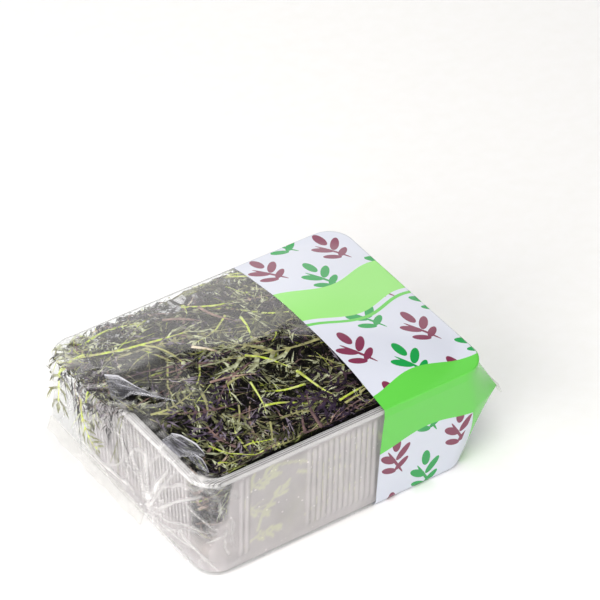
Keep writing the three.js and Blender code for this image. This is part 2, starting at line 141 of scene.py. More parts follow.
# Each lamp looks at the middle of the pack; roll turns it about that line, in degrees.
LAMPS = [
    {"name": "overhead", "at": (-0.3, -0.45, 1.5), "size": (1.3, 1.3), "watts": 17},
    {"name": "behind", "at": (0.57, 1.28, 0.8), "size": (1.5, 0.84), "roll": 18, "watts": 7.9},
    {"name": "behind_high", "at": (0.06, 1.09, 1.21), "size": (0.7, 0.35), "watts": 0.7},
    {"name": "behind_left", "at": (-0.97, 1.03, 0.71), "size": (0.62, 0.5), "watts": 2.6},
    {"name": "left", "at": (-1.5, -0.5, 0.8), "size": (1.7, 1.4), "watts": 32},
    {"name": "right", "at": (1.3, -1.2, 0.9), "size": (1.2, 1.2), "watts": 7},
]
for lamp in LAMPS:
    light = bpy.data.lights.new(lamp["name"], "AREA")
    light.shape = "RECTANGLE"
    light.size, light.size_y = lamp["size"]
    light.energy = lamp["watts"]
    light.color = linear("FFFDFB")[:3]
    holder = bpy.data.objects.new(lamp["name"], light)
    holder.location = lamp["at"]
    aim = (Vector((0, 0, 0.04)) - holder.location).to_track_quat("-Z", "Y")
    aim = aim @ Quaternion((0, 0, 1), math.radians(lamp.get("roll", 0)))
    holder.rotation_euler = aim.to_euler()
    scene.collection.objects.link(holder)

scene.view_settings.view_transform = "Standard"
scene.cycles.use_denoising = True
scene.cycles.transparent_max_bounces = 24

# The tray is one clear sheet of PET, drawn by vacuum over a mould: drafted walls stiffened by
# upright ribs, a flat base and a rim that is turned out and down.
TRAY = {"length": 190, "width": 148, "rim": 75, "base": 0.9, "sheet": 0.8, "draft": 3}
TRAY |= {"flange": 5, "corner": 13, "foot": 2.5}
RIBS = {"pitch": 3.7, "depth": 0.8, "low": 8, "high": 67, "fade": 3}
LONG_RIBS = [-18, -17, *range(-6, 7), 17, 18]
END_RIBS = list(range(-13, 14))
QUARTERS = {"long": 79, "end": 57}
CORNER_STEPS = 13
# The rim's section: how far out from the wall, and how high.
RIM_SECTION = [(0.1, 74.3), (0.6, 74.9), (1.4, 75), (3.6, 75), (4.4, 74.9), (4.9, 74.4)]
RIM_SECTION += [(5, 73.6), (5, 72.3), (4.9, 72)]


def smooth(low, high, value):
    """0 below low, 1 above high, and an even slope between."""
    share = min(1, max(0, (value - low) / (high - low)))
    return share * share * (3 - 2 * share)


def wall_at(z):
    """Half-length and half-width of the tray's outside at a height."""
    drafted = TRAY["draft"] * (TRAY["rim"] - z) / (TRAY["rim"] - TRAY["base"])
    inset = TRAY["flange"] + drafted
    return TRAY["length"] / 2 - inset, TRAY["width"] / 2 - inset


def tray_outline(half_x, half_y, radius, z):
    """Points round the tray, four to a rib's pitch along the walls, pushed out over the ribs.
    Each point's fourth number is how much of a rib is there."""
    low, high, fade_length = RIBS["low"], RIBS["high"], RIBS["fade"]
    fade = smooth(low, low + fade_length, z) * (1 - smooth(high - fade_length, high, z))
    points = []
    for side in range(4):
        across, along = (half_y, half_x) if side % 2 == 0 else (half_x, half_y)
        count = QUARTERS["end" if side % 2 else "long"]
        marks = END_RIBS if side % 2 else LONG_RIBS
        angle = math.pi / 2 * (side - 1)
        out = Vector((math.cos(angle), math.sin(angle)))
        run = Vector((-out.y, out.x))
        for k in range(-count, count + 1):
            nearest = round(k / 4)
            swell = 0.5 + 0.5 * math.cos(2 * math.pi * (k / 4 - nearest))
            rise = fade * swell if nearest in marks else 0
            place = out * (across + rise * RIBS["depth"]) + run * (k * RIBS["pitch"] / 4)
            points.append((place.x, place.y, z, rise))
        centre = out * (across - radius) + run * (along - radius)
        for k in range(1, CORNER_STEPS):
            bend = angle + math.pi / 2 * k / CORNER_STEPS
            place = centre + radius * Vector((math.cos(bend), math.sin(bend)))
            points.append((place.x, place.y, z, 0))
    return points


def wrapped(rings, mark):
    """A closed skin over rings of equally many points: a grid is laid on them, and its seam and
    poles are merged. What a point holds past its place goes to the attribute called mark."""
    columns = len(rings[0])
    rows = len(rings) - 1
    bm = bmesh.new()
    marks = bm.verts.layers.float_vector.new(mark)
    bmesh.ops.create_grid(bm, x_segments=columns, y_segments=rows, size=1)
    for v in bm.verts:
        column = round((v.co.x + 1) / 2 * columns) % columns
        row = round((v.co.y + 1) / 2 * rows)
        point = rings[row][column]
        v.co = Vector(point[:3]) * MM
        v[marks] = (*point[3:], 0, 0, 0)[:3]
    bmesh.ops.remove_doubles(bm, verts=bm.verts, dist=1e-7)
    bmesh.ops.recalc_face_normals(bm, faces=bm.faces)
    return bm


def tray_rings():
    corner, foot = TRAY["corner"], TRAY["foot"]
    low_x, low_y = wall_at(TRAY["base"])
    base = tray_outline(low_x - foot, low_y - foot, corner - foot, TRAY["base"])
    rings = [[(x * share, y * share, z, 0) for x, y, z, _ in base] for share in (0, 0.4, 0.8)]
    for step in range(5):
        arc = math.pi / 2 * step / 4
        inset = foot * (1 - math.sin(arc))
        z = TRAY["base"] + foot * (1 - math.cos(arc))
        half_x, half_y = wall_at(z)
        rings.append(tray_outline(half_x - inset, half_y - inset, corner - inset, z))
    heights = [RIBS["low"] + 1.3 * n for n in range(46)]
    for z in (*heights, RIBS["high"], 68.5, 70, 73.4):
        rings.append(tray_outline(*wall_at(z), corner, z))
    half_x, half_y = wall_at(TRAY["rim"])
    for out, z in RIM_SECTION:
        rings.append(tray_outline(half_x + out, half_y + out, corner + 0.6 * out, z))
    return rings


# Clear PET: bright and hard, with reflections that grow towards the rim of sight. The drawn ribs
# are thinner and a little clouded, with painted highlights on their crests. The rim is clouded, in
# fine lines that are painted highlights along its small steps, and whiter on the left rim, a painted
# highlight where the film bends over it. The foot is a little clouded too.
clear_pet, tree = new_material("pet_vacuum_formed_clear")
ribbed = add(tree, "Attribute", {"attribute_name": "ribbed"})
rib = add(tree, "SeparateXYZ", {}, {0: ribbed.outputs["Vector"]})
# Rib crests: partly the thinned sheet's haze, partly a painted highlight along each rib.
haze_and_highlight = add(tree, "MapRange", {}, {"Value": rib, 1: 0.4, 2: 0.95, 3: 0.02, 4: 0.8})
place = add(tree, "TexCoord")
spot = add(tree, "SeparateXYZ", {}, {0: place.outputs["Object"]})
# The rim: a haze with fine lines, painted highlights along its steps, whiter on the left rim as a painted
# highlight where the film bends over it.
out_y = add(tree, "Math", {"operation": "ABSOLUTE"}, {0: spot.outputs[1]})
out_x = add(tree, "Math", {"operation": "ABSOLUTE"}, {0: spot.outputs[0]})
out_x = add(tree, "Math", {"operation": "ADD"}, {0: out_x, 1: -0.021})
out = add(tree, "Math", {"operation": "MAXIMUM"}, {0: out_x, 1: out_y})
steps = add(tree, "Math", {"operation": "MULTIPLY"}, {0: out, 1: 4700})
steps = add(tree, "Math", {"operation": "SINE"}, {0: steps})
rim_haze_and_left_highlight = add(tree, "MapRange", {}, {"Value": spot.outputs[0], 1: -0.088, 2: -0.09, 3: 0.4, 4: 0.55})
steps = add(tree, "Math", {"operation": "MULTIPLY_ADD"}, {0: steps, 1: 0.16, 2: rim_haze_and_left_highlight})
on_rim = add(tree, "MapRange", {}, {"Value": spot.outputs[2], 1: 0.071, 2: 0.0725})
steps = add(tree, "Math", {"operation": "MULTIPLY"}, {0: steps, 1: on_rim})
haze_and_highlight = add(tree, "Math", {"operation": "MAXIMUM"}, {0: haze_and_highlight, 1: steps})
at_foot = add(tree, "MapRange", {}, {"Value": spot.outputs[2], 1: 0.009, 2: 0.002, 3: 0, 4: 0.4})
haze_and_highlight = add(tree, "Math", {"operation": "MAXIMUM"}, {0: haze_and_highlight, 1: at_foot})
facing = add(tree, "LayerWeight", {}, {"Blend": 0.5})
edge = add(tree, "Math", {"operation": "POWER"}, {0: facing.outputs["Facing"], 1: 4})
gloss = add(tree, "Math", {"operation": "MULTIPLY_ADD", "use_clamp": True}, {0: edge, 1: 1.0, 2: 0.04})
through = add(tree, "BsdfTransparent", {}, {"Color": linear("F5F6F7")})
mirror = add(tree, "BsdfAnisotropic", {}, {"Color": linear("F6F8FB"), "Roughness": 0.1})
milky = {"Base Color": linear("F2EEEE"), "Roughness": 0.3, "IOR": 1.57}
haze = add(tree, "BsdfPrincipled", {}, milky)
clear = add(tree, "MixShader", {}, {"Fac": gloss, 1: through, 2: mirror})
surface = add(tree, "MixShader", {}, {"Fac": haze_and_highlight, 1: clear, 2: haze})
add(tree, "OutputMaterial", {}, {"Surface": surface})

# The same sheet's inner face: the breath of the leaves has fogged the walls with tiny drops, but
# not the rounded corners, so there the leaves show. The fog's edge slants: it reaches further into
# a corner lower down. A leaf that lies against the wall shows as a pale green shape.
fogged_pet, tree = new_material("pet_inner_face_fogged")
place = add(tree, "TexCoord")
spot = add(tree, "SeparateXYZ", {}, {0: place.outputs["Object"]})
out_y = add(tree, "Math", {"operation": "ABSOLUTE"}, {0: spot.outputs[1]})
out_x = add(tree, "Math", {"operation": "ABSOLUTE"}, {0: spot.outputs[0]})
damp = add(tree, "TexNoise", {}, {"Vector": place.outputs["Object"], "Scale": 55, "Detail": 4})
blot = add(tree, "Math", {"operation": "MULTIPLY_ADD"}, {0: damp, 1: 0.02, 2: -0.01})
along = add(tree, "Math", {"operation": "ADD"}, {0: out_x, 1: blot})
slant = add(tree, "Math", {"operation": "MULTIPLY_ADD"}, {0: spot.outputs[2], 1: 0.32, 2: -0.0178})
along = add(tree, "Math", {"operation": "ADD"}, {0: along, 1: slant})
on_long = add(tree, "MapRange", {}, {"Value": out_y, 1: 0.059, 2: 0.063})
off_corner = add(tree, "MapRange", {}, {"Value": along, 1: 0.078, 2: 0.073})
under_rim = add(tree, "MapRange", {}, {"Value": spot.outputs[2], 1: 0.073, 2: 0.070})
fog = add(tree, "Math", {"operation": "MULTIPLY"}, {0: on_long, 1: off_corner})
on_end = add(tree, "MapRange", {}, {"Value": out_x, 1: 0.0805, 2: 0.0835})
off_corner = add(tree, "MapRange", {}, {"Value": out_y, 1: 0.057, 2: 0.050})
end_fog = add(tree, "Math", {"operation": "MULTIPLY"}, {0: on_end, 1: off_corner})
end_fog = add(tree, "Math", {"operation": "MULTIPLY"}, {0: end_fog, 1: 0.6})
fog = add(tree, "Math", {"operation": "MAXIMUM"}, {0: fog, 1: end_fog})
fog = add(tree, "Math", {"operation": "MULTIPLY"}, {0: fog, 1: under_rim})
low = add(tree, "MapRange", {}, {"Value": spot.outputs[2], 1: 0.036, 2: 0.02, 3: 0, 4: 0.8})
fog = add(tree, "Math", {"operation": "MAXIMUM"}, {0: fog, 1: low})
cells = add(tree, "TexVoronoi", {}, {"Vector": place.outputs["Object"], "Scale": 380})
chance = add(tree, "SeparateXYZ", {}, {0: cells.outputs["Color"]})
large = add(tree, "MapRange", {}, {"Value": chance, 1: 0.8, 2: 1, 3: 0, 4: 0.3})
drops = add(tree, "Math", {"operation": "LESS_THAN"}, {0: cells, 1: large})
drops = add(tree, "Math", {"operation": "MULTIPLY"}, {0: drops, 1: 0.3})
mottle = add(tree, "MapRange", {}, {"Value": damp, 1: 0.3, 2: 0.7, 3: 0.5, 4: 0.62})
mottle = add(tree, "Math", {"operation": "ADD"}, {0: mottle, 1: drops})
fog = add(tree, "Math", {"operation": "MULTIPLY_ADD", "use_clamp": True}, {0: fog, 1: mottle, 2: 0.03})
ribbed = add(tree, "Attribute", {"attribute_name": "ribbed"})
wet = add(tree, "SeparateXYZ", {}, {0: ribbed.outputs["Vector"]}).outputs[1]
fog = add(tree, "Math", {"operation": "MULTIPLY_ADD", "use_clamp": True}, {0: wet, 1: 0.22, 2: fog})
tints = {"Fac": wet, "Color1": linear("F5ECEE"), "Color2": linear("EAE8CC")}
shade = add(tree, "MixRGB", {}, tints)
through = add(tree, "BsdfTransparent", {}, {"Color": linear("F5F6F7")})
drop = add(tree, "BsdfPrincipled", {}, {"Base Color": shade, "Roughness": 0.4})
glow = add(tree, "BsdfTranslucent", {}, {"Color": linear("F4F0F0")})
haze = add(tree, "MixShader", {}, {"Fac": 0.15, 1: drop, 2: glow})
surface = add(tree, "MixShader", {}, {"Fac": fog, 1: through, 2: haze})
add(tree, "OutputMaterial", {}, {"Surface": surface})

bm = wrapped(tray_rings(), "ribbed")
tray = shown("tray_formed", bm, clear_pet)
tray.data.materials.append(fogged_pet)
wall = tray.modifiers.new("wall", "SOLIDIFY")
wall.thickness = TRAY["sheet"] * MM
wall.offset = -1
wall.material_offset = 1
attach(tray, "root")
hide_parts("tray")

# The mizuna is loose salad leaf, cut young: each leaf has a bare yellow-green stalk and a blade
# slit into narrow lobes, dark purple above and dull green below, tumbled into the tray by hand.
# The film's heights and its distances from the middle of the pack, in millimetres: its end leans
# out from bend_z down to the seal, and its far left corner stands out further than the near one.
FILM = {"edge": 77.4, "back_rise": 1.1, "dome": 9, "seal_x": 111, "seal_z": 44}
FILM |= {"bend_z": 70.5, "near_x": 96.6, "far_more": 10.4, "far_from": 58}
# How many leaves lie in each part of the heap, in the clear corners, along the walls and out over
# the left end.
HEAP = {"deep": 280, "middle": 330, "top": 120, "stems": 220, "stalks": 46, "bits": 70, "rim": 260,
        "near": 56, "fronds": 54}
CORNERS, SIDES, SPILL = 96, 200, 27


def film_end(y, z):
    """How far the film's left end stands out at a place, in millimetres."""
    to_far = min(1, max(0, (y + FILM["far_from"]) / (2 * FILM["far_from"])))
    rim = FILM["near_x"] + FILM["far_more"] * to_far
    slope = FILM["bend_z"] - FILM["seal_z"]
    return rim + (FILM["seal_x"] - rim) * min(1, max(0, (FILM["bend_z"] - z) / slope))


def dome_over(x, y):
    """Height of the film's top over a place in the tray: it is drawn up by the leaves."""
    half_x = 95 if x > 0 else film_end(y, 76) - 1.6
    share = ((abs(x) / half_x) ** 4 + (abs(y) / 74) ** 4) ** (1 / 4)
    return FILM["edge"] + FILM["back_rise"] * y / 74 + FILM["dome"] * (1 - min(1, share) ** 2)


def in_pack(p, clear, under):
    """Brings a point inside the tray's walls and under the film's top. Over the rim, the back and
    the far left have some more room, up to the film."""
    half_x, half_y = wall_at(min(TRAY["rim"], max(TRAY["base"], p.z)))
    if p.z > 75.6:
        more = smooth(-5, 15, p.y)
        half_x += (film_end(p.y, 76) - 1 - half_x) * more if p.x < 0 else 0
        half_y += 6.4 * more
    corner_x, corner_y = half_x - TRAY["corner"], half_y - TRAY["corner"]
    out_x = max(abs(p.x) - corner_x, 0)
    out_y = max(abs(p.y) - corner_y, 0)
    room = TRAY["corner"] - TRAY["sheet"] - clear
    scale = min(1, room / max(math.hypot(out_x, out_y), 1e-6))
    x = math.copysign(min(abs(p.x), corner_x) + out_x * scale, p.x)
    y = math.copysign(min(abs(p.y), corner_y) + out_y * scale, p.y)
    low = TRAY["base"] + TRAY["sheet"] + clear
    return Vector((x, y, min(max(p.z, low), dome_over(x, y) - under)))


def extruded(bm, edges):
    """Extrudes a row of edges and gives the new edges and points."""
    made = bmesh.ops.extrude_edge_only(bm, edges=edges)["geom"]
    new_verts = [g for g in made if isinstance(g, bmesh.types.BMVert)]
    new_edges = [
        g
        for g in made
        if isinstance(g, bmesh.types.BMEdge) and all(v in new_verts for v in g.verts)
    ]
    return new_edges, new_verts


def grow_lobe(bm, shape, edge, side, reach, sweep, draw):
    """Draws a short edge of the rib out to a narrow lobe that bends forward, with two teeth."""
    start = sum((v.co for v in edge.verts), Vector()) / 2
    half = abs(edge.verts[0].co.x - edge.verts[1].co.x) / 2
    lift = draw.uniform(-4, 3.5)
    for out, width in ((0.36, 0.8), (0.52, 0.8), (0.8, 0.6), (1, 0.1)):
        feet = sorted(edge.verts, key=lambda v: v.co.x)
        (edge,), tips = extruded(bm, [edge])
        tips.sort(key=lambda v: v.co.x)
        x = start.x + sweep * out**1.5
        y = start.y + side * reach * (1.4 * out - 0.4 * out * out)
        for tip, way in zip(tips, (-1, 1)):
            across = Vector((way * half, -way * side * 0.35, 0)) * width
            tip.co = Vector((x, y, lift * out * out)) + across
            tip[shape] = (x, out, 0)
        if out != 0.52:
            continue
        for foot, tip, lean in zip(feet, tips, (0.1, 0.5)):
            middle = (foot.co + tip.co) / 2
            push = Vector((lean * sweep, side * reach * 0.26, draw.uniform(-1.2, 0.8)))
            _, tooth = extruded(bm, [bm.edges.get((foot, tip))])
            for v in tooth:
                v.co = middle + push + (v.co - middle) * 0.2
                v[shape] = (x, 0.8, 0)


def leaf_pattern(pairs, bare, reach, stalk, foot, seed):
    """A flat leaf as a mesh: X is the share along it, Y is millimetres across and Z off it.
    The attribute leaf_shape holds the share along, the share out into a lobe and the rib."""
    draw = random.Random(seed)
    bm = bmesh.new()
    shape = bm.verts.layers.float_vector.new("leaf_shape")
    row = [bm.verts.new((0, y * stalk, 0)) for y in (-1, 1)]
    for v in row:
        v[shape] = (0, 0, 1)
    edges = [bm.edges.new(row)]
    step = (1 - bare) / pairs
    stations = [(bare * 0.5, stalk * 0.9, False), (bare, stalk * 0.8, False)]
    for i in range(pairs):
        x = bare + step * (i + 0.5)
        half = stalk * (0.75 - 0.4 * x)
        stations += [(x - foot, half, False), (x + foot, half, True)]
    stations += [(0.97, 0.25, False), (1.01, 1.2, False), (1.08, 0.12, False)]
    sides = []
    for x, half, lobed in stations:
        old = row
        edges, row = extruded(bm, edges)
        row.sort(key=lambda v: v.co.y)
        for v, way in zip(row, (-1, 1)):
            v.co = Vector((x, way * half, 0))
            v[shape] = (x, 0, 1 if x < 1 else 0)
        if lobed:
            sides.append([bm.edges.get(pair) for pair in zip(old, row)])
    for i, pair in enumerate(sides):
        width = reach * math.sin(math.pi * (0.25 + 0.6 * (i + 0.5) / pairs))
        for edge, side in zip(pair, (-1, 1)):
            sweep = step * draw.uniform(0.9, 2)
            grow_lobe(bm, shape, edge, side, width * draw.uniform(0.6, 1.25), sweep, draw)
    mesh = bpy.data.meshes.new("leaf_pattern")
    bm.to_mesh(mesh)
    bm.free()
    return mesh


def stalk_pattern(seed):
    """A leaf cut low, with a thick round stalk under a short blade."""
    bm = bmesh.new()
    bm.from_mesh(leaf_pattern(3, 0.68, 6, 0.7, 0.012, seed))
    shape = bm.verts.layers.float_vector["leaf_shape"]
    ring = bmesh.ops.create_circle(bm, cap_ends=True, segments=6, radius=0.95)["verts"]
    bmesh.ops.rotate(bm, verts=ring, matrix=Matrix.Rotation(math.pi / 2, 3, "Y"))
    edges = list(dict.fromkeys(edge for v in ring for edge in v.link_edges))
    for v in ring:
        v[shape] = (0, 0, 1)
    for i in range(1, 8):
        edges, ring = extruded(bm, edges)
        for v in ring:
            v.co = (0.72 * i / 7, v.co.y * 0.93, v.co.z * 0.93)
            v[shape] = (v.co.x * 0.4, 0, 1)
    bmesh.ops.edgeloop_fill(bm, edges=edges)
    bmesh.ops.recalc_face_normals(bm, faces=bm.faces)
    mesh = bpy.data.meshes.new("stalk_pattern")
    bm.to_mesh(mesh)
    bm.free()
    return mesh


def lay_leaf(bm, layers, pattern, path, up, scale, roll, tone, keep, light, twist=0):
    """Bends a copy of a flat leaf along a path of points. keep holds a point back inside the
    pack, and light tells how much light gets down to it; it is kept with the leaf's tone and paints shade
    on the leaf."""
    shape, marks = layers
    start = len(bm.verts)
    bm.from_mesh(pattern)
    bm.verts.ensure_lookup_table()
    last = len(path) - 1
    frames = []
    for i, point in enumerate(path):
        along = (path[min(last, i + 1)] - path[max(0, i - 1)]).normalized()
        across = up.cross(along).normalized()
        frames.append((point, along, across, along.cross(across)))
    length = sum((b - a).length for a, b in zip(path, path[1:]))
    for v in bm.verts[start:]:
        cos, sin = math.cos(roll + twist * v.co.x), math.sin(roll + twist * v.co.x)
        place = min(1, max(0, v.co.x)) * last
        i = min(last - 1, int(place))
        t = place - i
        point, along, across, off = (frames[i][k].lerp(frames[i + 1][k], t) for k in range(4))
        y, z = v.co.y * scale, v.co.z
        p = point + across * (y * cos - z * sin) + off * (y * sin + z * cos)
        if v.co.x > 1:
            p += along * (v.co.x - 1) * length
        p = keep(p)
        v.co = p * MM
        v[marks] = (*tone, light(p))


def new_leaves():
    bm = bmesh.new()
    layers = (
        bm.verts.layers.float_vector.new("leaf_shape"),
        bm.verts.layers.float_vector.new("leaf_tone"),
    )
    return bm, layers


def path_over(x, y, heading, bend, length, depth, steps):
    """Points on a line that follows the film's curve at a depth under it."""
    points = []
    for i in range(steps + 1):
        points.append(Vector((x, y, dome_over(x, y) - depth(i / steps))))
        heading += bend / steps
        x += length / steps * math.cos(heading)
        y += length / steps * math.sin(heading)
    return points


fine_patterns = [
    leaf_pattern(4 + n % 2, 0.3 + 0.05 * (n % 4), 6, 0.45 + 0.08 * (n % 3), 0.0065, n)
    for n in range(12)
]
broad_patterns = [
    leaf_pattern(4 + n % 2, 0.25 + 0.04 * (n % 4), 8, 0.5 + 0.1 * (n % 3), 0.009, 40 + n)
    for n in range(12)
]
stem_patterns = [
    leaf_pattern(2, 0.7, 5, 0.45 + 0.12 * (n % 3), 0.009, 80 + n) for n in range(8)
]
bit_patterns = [leaf_pattern(2, 0.4, 5, 0.45, 0.014, 100 + n) for n in range(8)]
stalk_patterns = [stalk_pattern(120 + n) for n in range(6)]
wide_patterns = [leaf_pattern(5, 0.28, 9, 0.9, 0.024, 130 + n) for n in range(6)]


def leaf_material(name, blade, stalk, lit):
    """Leaf: blade and stalk are each a row of colours, from the darkest to the lightest leaf, and
    lit is the share of light that shines through the blade."""
    made, tree = new_material(name)
    place = add(tree, "TexCoord")
    shape = add(tree, "Attribute", {"attribute_name": "leaf_shape"})
    marks = add(tree, "Attribute", {"attribute_name": "leaf_tone"})
    shape = add(tree, "SeparateXYZ", {}, {0: shape.outputs["Vector"]})
    marks = add(tree, "SeparateXYZ", {}, {0: marks.outputs["Vector"]})
    patch = add(tree, "TexNoise", {}, {"Vector": place.outputs["Object"], "Scale": 260, "Detail": 3})
    lean = add(tree, "MapRange", {}, {"Value": patch, 1: 0.3, 2: 0.7, 3: -0.16, 4: 0.16})
    tone = add(tree, "Math", {"operation": "ADD", "use_clamp": True}, {0: marks.outputs[0], 1: lean})
    spread = [linear(c) for c in blade]
    flesh = add(tree, "ValToRGB", {"stops": list(zip((0, 0.45, 0.8, 1), spread))}, {"Fac": tone})
    stems = [linear(c) for c in stalk]
    uneven = add(tree, "Math", {"operation": "ADD", "use_clamp": True}, {0: marks.outputs[1], 1: lean})
    stem = add(
        tree, "ValToRGB", {"stops": list(zip((0, 0.4, 0.8, 0.93, 1), stems))}, {"Fac": uneven}
    )
    fade = add(tree, "MapRange", {}, {"Value": shape.outputs[0], 1: 0.3, 2: 0.75, 3: 0.25, 4: 0.8})
    rib = add(tree, "Math", {"operation": "SUBTRACT"}, {0: shape.outputs[2], 1: fade})
    stemmy = add(tree, "MapRange", {}, {"Value": rib, 1: -0.05, 2: 0.2})
    skin = add(tree, "MixRGB", {}, {"Fac": stemmy, "Color1": flesh, "Color2": stem})
    veins = add(tree, "TexNoise", {}, {"Vector": place.outputs["Object"], "Scale": 900, "Detail": 3})
    bump = add(tree, "Bump", {}, {"Strength": 0.6, "Distance": 0.0005, "Height": veins})
    front = add(
        tree,
        "BsdfPrincipled",
        {},
        {"Base Color": skin, "Roughness": 0.32, "IOR": 1.4, "Specular IOR Level": 0.08, "Normal": bump},
    )
    shine = add(tree, "BsdfTranslucent", {}, {"Color": skin, "Normal": bump})
    surface = add(tree, "MixShader", {}, {"Fac": lit, 1: front, 2: shine})
    # Painted shade: a leaf deep in the heap is mixed towards near black by the share of light kept as the
    # third number of its tone.
    painted_shade = add(tree, "BsdfDiffuse", {}, {"Color": linear("080604")})
    surface = add(tree, "MixShader", {}, {"Fac": marks.outputs[2], 1: painted_shade, 2: surface})
    add(tree, "OutputMaterial", {}, {"Surface": surface})
    return made


# Purple blades drink nearly all light; a waxy skin leaves small grey-violet glints on them.
red_leaf = leaf_material(
    "mizuna_leaf_purple",
    ("030202", "140E13", "47394E", "988C9A"),
    ("100A10", "54404A", "A88A80", "D2B8A4", "F0E2C8"),
    0.06,
)
# Undersides and young leaves: dull olive to fresh green, with a little light shining through.
green_leaf = leaf_material(
    "mizuna_leaf_green",
    ("040402", "201F11", "888962", "E4E7C2"),
    ("1A1810", "6E6850", "C8C488", "DCF048", "F2FA9C"),
    0.2,
)
kinds = {"red": new_leaves(), "green": new_leaves()}


def kind_at(x, y, draw):
    """Purple leaves lie mostly at the near right of the clear part, green ones elsewhere."""
    red = 0.32 + 0.4 * smooth(-50, 20, x) * (1 - smooth(-25, 35, y))
    return "red" if draw.random() < red else "green"


def leaf_turn(draw):
    """Most leaves lie roughly across the pack, as they slid in; the others lie any way."""
    if draw.random() < 0.55:
        return draw.gauss(-0.75, 0.45) + math.pi * draw.randrange(2)
    return draw.uniform(0, 2 * math.pi)


def light_on_heap(p):
    """The share of light that gets down between the leaves to a point in the heap: all of it
    just under the film, and hardly any from 3.7 mm down. It is painted into the leaf as shade."""
    return 1 - 0.985 * smooth(1.3, 3.7, dome_over(p.x, p.y) - p.z)


def lay_on_heap(draw, x, y, length, level, patterns, kind, heading=None, bright=0, flat=False,
                loose=False):
    """Lays a leaf with its middle at a place on the heap, at a level under the film. bright is
    the least that the tone of its stalk can be. A flat leaf lies spread out at one level, and a
    loose one may hang out over the rim."""
    if heading is None:
        heading = leaf_turn(draw)
    level += 0 if loose else 0.6
    dive = draw.uniform(0, 5 if flat else 7)
    phase = draw.uniform(0, 6)
    sway = min(0.4 if flat else 1.4, level - (0.6 if loose else 1.4))
    path = path_over(
        x - math.cos(heading) * length / 2,
        y - math.sin(heading) * length / 2,
        heading,
        draw.uniform(-1.5, 1.5),
        length,
        lambda t: level + dive * (1 - t) ** 3 + sway * math.sin(6 * t + phase),
        9,
    )
    clear = draw.uniform(0.7, 3)
    edge, left = (59, -84) if flat else (56, -82)
    patch = 0.5 * noise.noise(Vector((x, y, 7)) / 26)
    # Painted light: leaves turn lighter towards the left end, standing in for the pale reflection the film
    # lays over them there.
    painted_left_light = 0.22 * smooth(15, 60, -x)
    tone = min(1, max(0, draw.random() ** 1.5 + patch + painted_left_light))
    bm, layers = kinds[kind]

    def keep(p):
        p = in_pack(p, 0.2 if loose else clear, 0.6 if loose else 1.4)
        if loose:
            p.y = min(p.y, 73.6 + 5 * noise.noise(p / 4))
        else:
            ragged = 11 * noise.noise(p / 13)
            p.y = min(p.y, edge + ragged)
            p.x = max(p.x, left + ragged) if p.y > 8 else p.x
        return p

    lay_leaf(
        bm,
        layers,
        draw.choice(patterns),
        [in_pack(p, clear, 1.1) for p in path],
        Vector((0, 0, 1)),
        draw.uniform(0.7, 1.35),
        draw.gauss(0, 0.35 if flat else 0.8),
        (tone, bright + (1 - bright) * min(1, max(0, draw.random() + patch))),
        keep,
        light_on_heap,
        draw.gauss(0, 0.4 if flat else 0.7),
    )


# The heap is laid from its depth up to its top, then come bare stems, thick stalks, scraps of
# leaf, the loose fringe over the rim, the near edge and the fronds spread out on top.
draw = random.Random(5)
GOLDEN = (math.sqrt(5) - 1) / 2
for layer, low, high in (("deep", 6, 15), ("middle", 2.8, 7), ("top", 1.1, 2.8)):
    for n in range(HEAP[layer]):
        x = -90 + 122 * ((n * 0.7548) % 1) if n % 8 else draw.uniform(30, 88)
        y = -68 + 133 * ((n * 0.5698) % 1)
        patterns = broad_patterns if n % 3 == 0 else fine_patterns
        kind, flat = kind_at(x, y, draw), layer == "top"
        length, level = draw.uniform(36, 92 if flat else 80), draw.uniform(low, high)
        lay_on_heap(draw, x, y, length, level, patterns, kind, flat=flat)
for n in range(HEAP["stems"]):
    x, y = draw.uniform(-90, 28), draw.uniform(-68, 68) if n % 5 else draw.uniform(-69, -52)
    length, level = draw.uniform(26, 70), draw.uniform(1.1, 3.6)
    lay_on_heap(draw, x, y, length, level, stem_patterns, kind_at(x, y, draw), flat=n % 2 == 0)
for n in range(HEAP["stalks"]):
    x, y = draw.uniform(-84, 26), draw.uniform(-66, 64)
    length, level = draw.uniform(24, 60), draw.uniform(1.8, 3.0)
    lay_on_heap(draw, x, y, length, level, stalk_patterns, "green", bright=0.75, flat=True)
for n in range(HEAP["bits"]):
    x, y = draw.uniform(-90, 26), draw.uniform(-68, 70)
    length = draw.uniform(14, 34)
    lay_on_heap(draw, x, y, length, draw.uniform(1.1, 5), bit_patterns, kind_at(x, y, draw))
for n in range(HEAP["rim"]):
    x, y = -98 + 122 * ((n * GOLDEN) % 1), 77 - 20 * draw.random() ** 1.2
    if n % 3 == 0:
        x, y = draw.uniform(-104, -88), draw.uniform(14, 68)
    if noise.noise(Vector((x, y, 4)) / 9) < -0.05:
        continue
    patterns = (bit_patterns, stem_patterns, fine_patterns)[n % 3]
    length, heading = draw.uniform(10, 34), draw.uniform(0, 2 * math.pi)
    kind, level = kind_at(x, y, draw), draw.uniform(0.6, 1.7)
    lay_on_heap(draw, x, y, length, level, patterns, kind, heading, loose=True)
for n in range(HEAP["near"]):
    x, y = -78 + 112 * ((n * GOLDEN) % 1), draw.uniform(-70, -60)
    patterns = (stem_patterns, fine_patterns, broad_patterns)[n % 3]
    length, heading = draw.uniform(20, 46), draw.gauss(0, 0.5) + math.pi * (n % 2)
    kind, level = "green" if n % 5 < 2 else "red", draw.uniform(0.9, 2.2)
    lay_on_heap(draw, x, y, length, level, patterns, kind, heading, bright=0.25, flat=True)
for n in range(HEAP["fronds"]):
    x, y = draw.uniform(-80, 30), draw.uniform(-60, 56)
    far = y > 0
    length, level = draw.uniform(44, 84) if far else draw.uniform(24, 50), draw.uniform(0.9, 1.3)
    patterns = (broad_patterns, stem_patterns, stem_patterns)[n % 3]
    kind = "red" if n % 4 == 1 else "green"
    lay_on_heap(draw, x, y, length, level, patterns, kind, bright=0.5, flat=True)

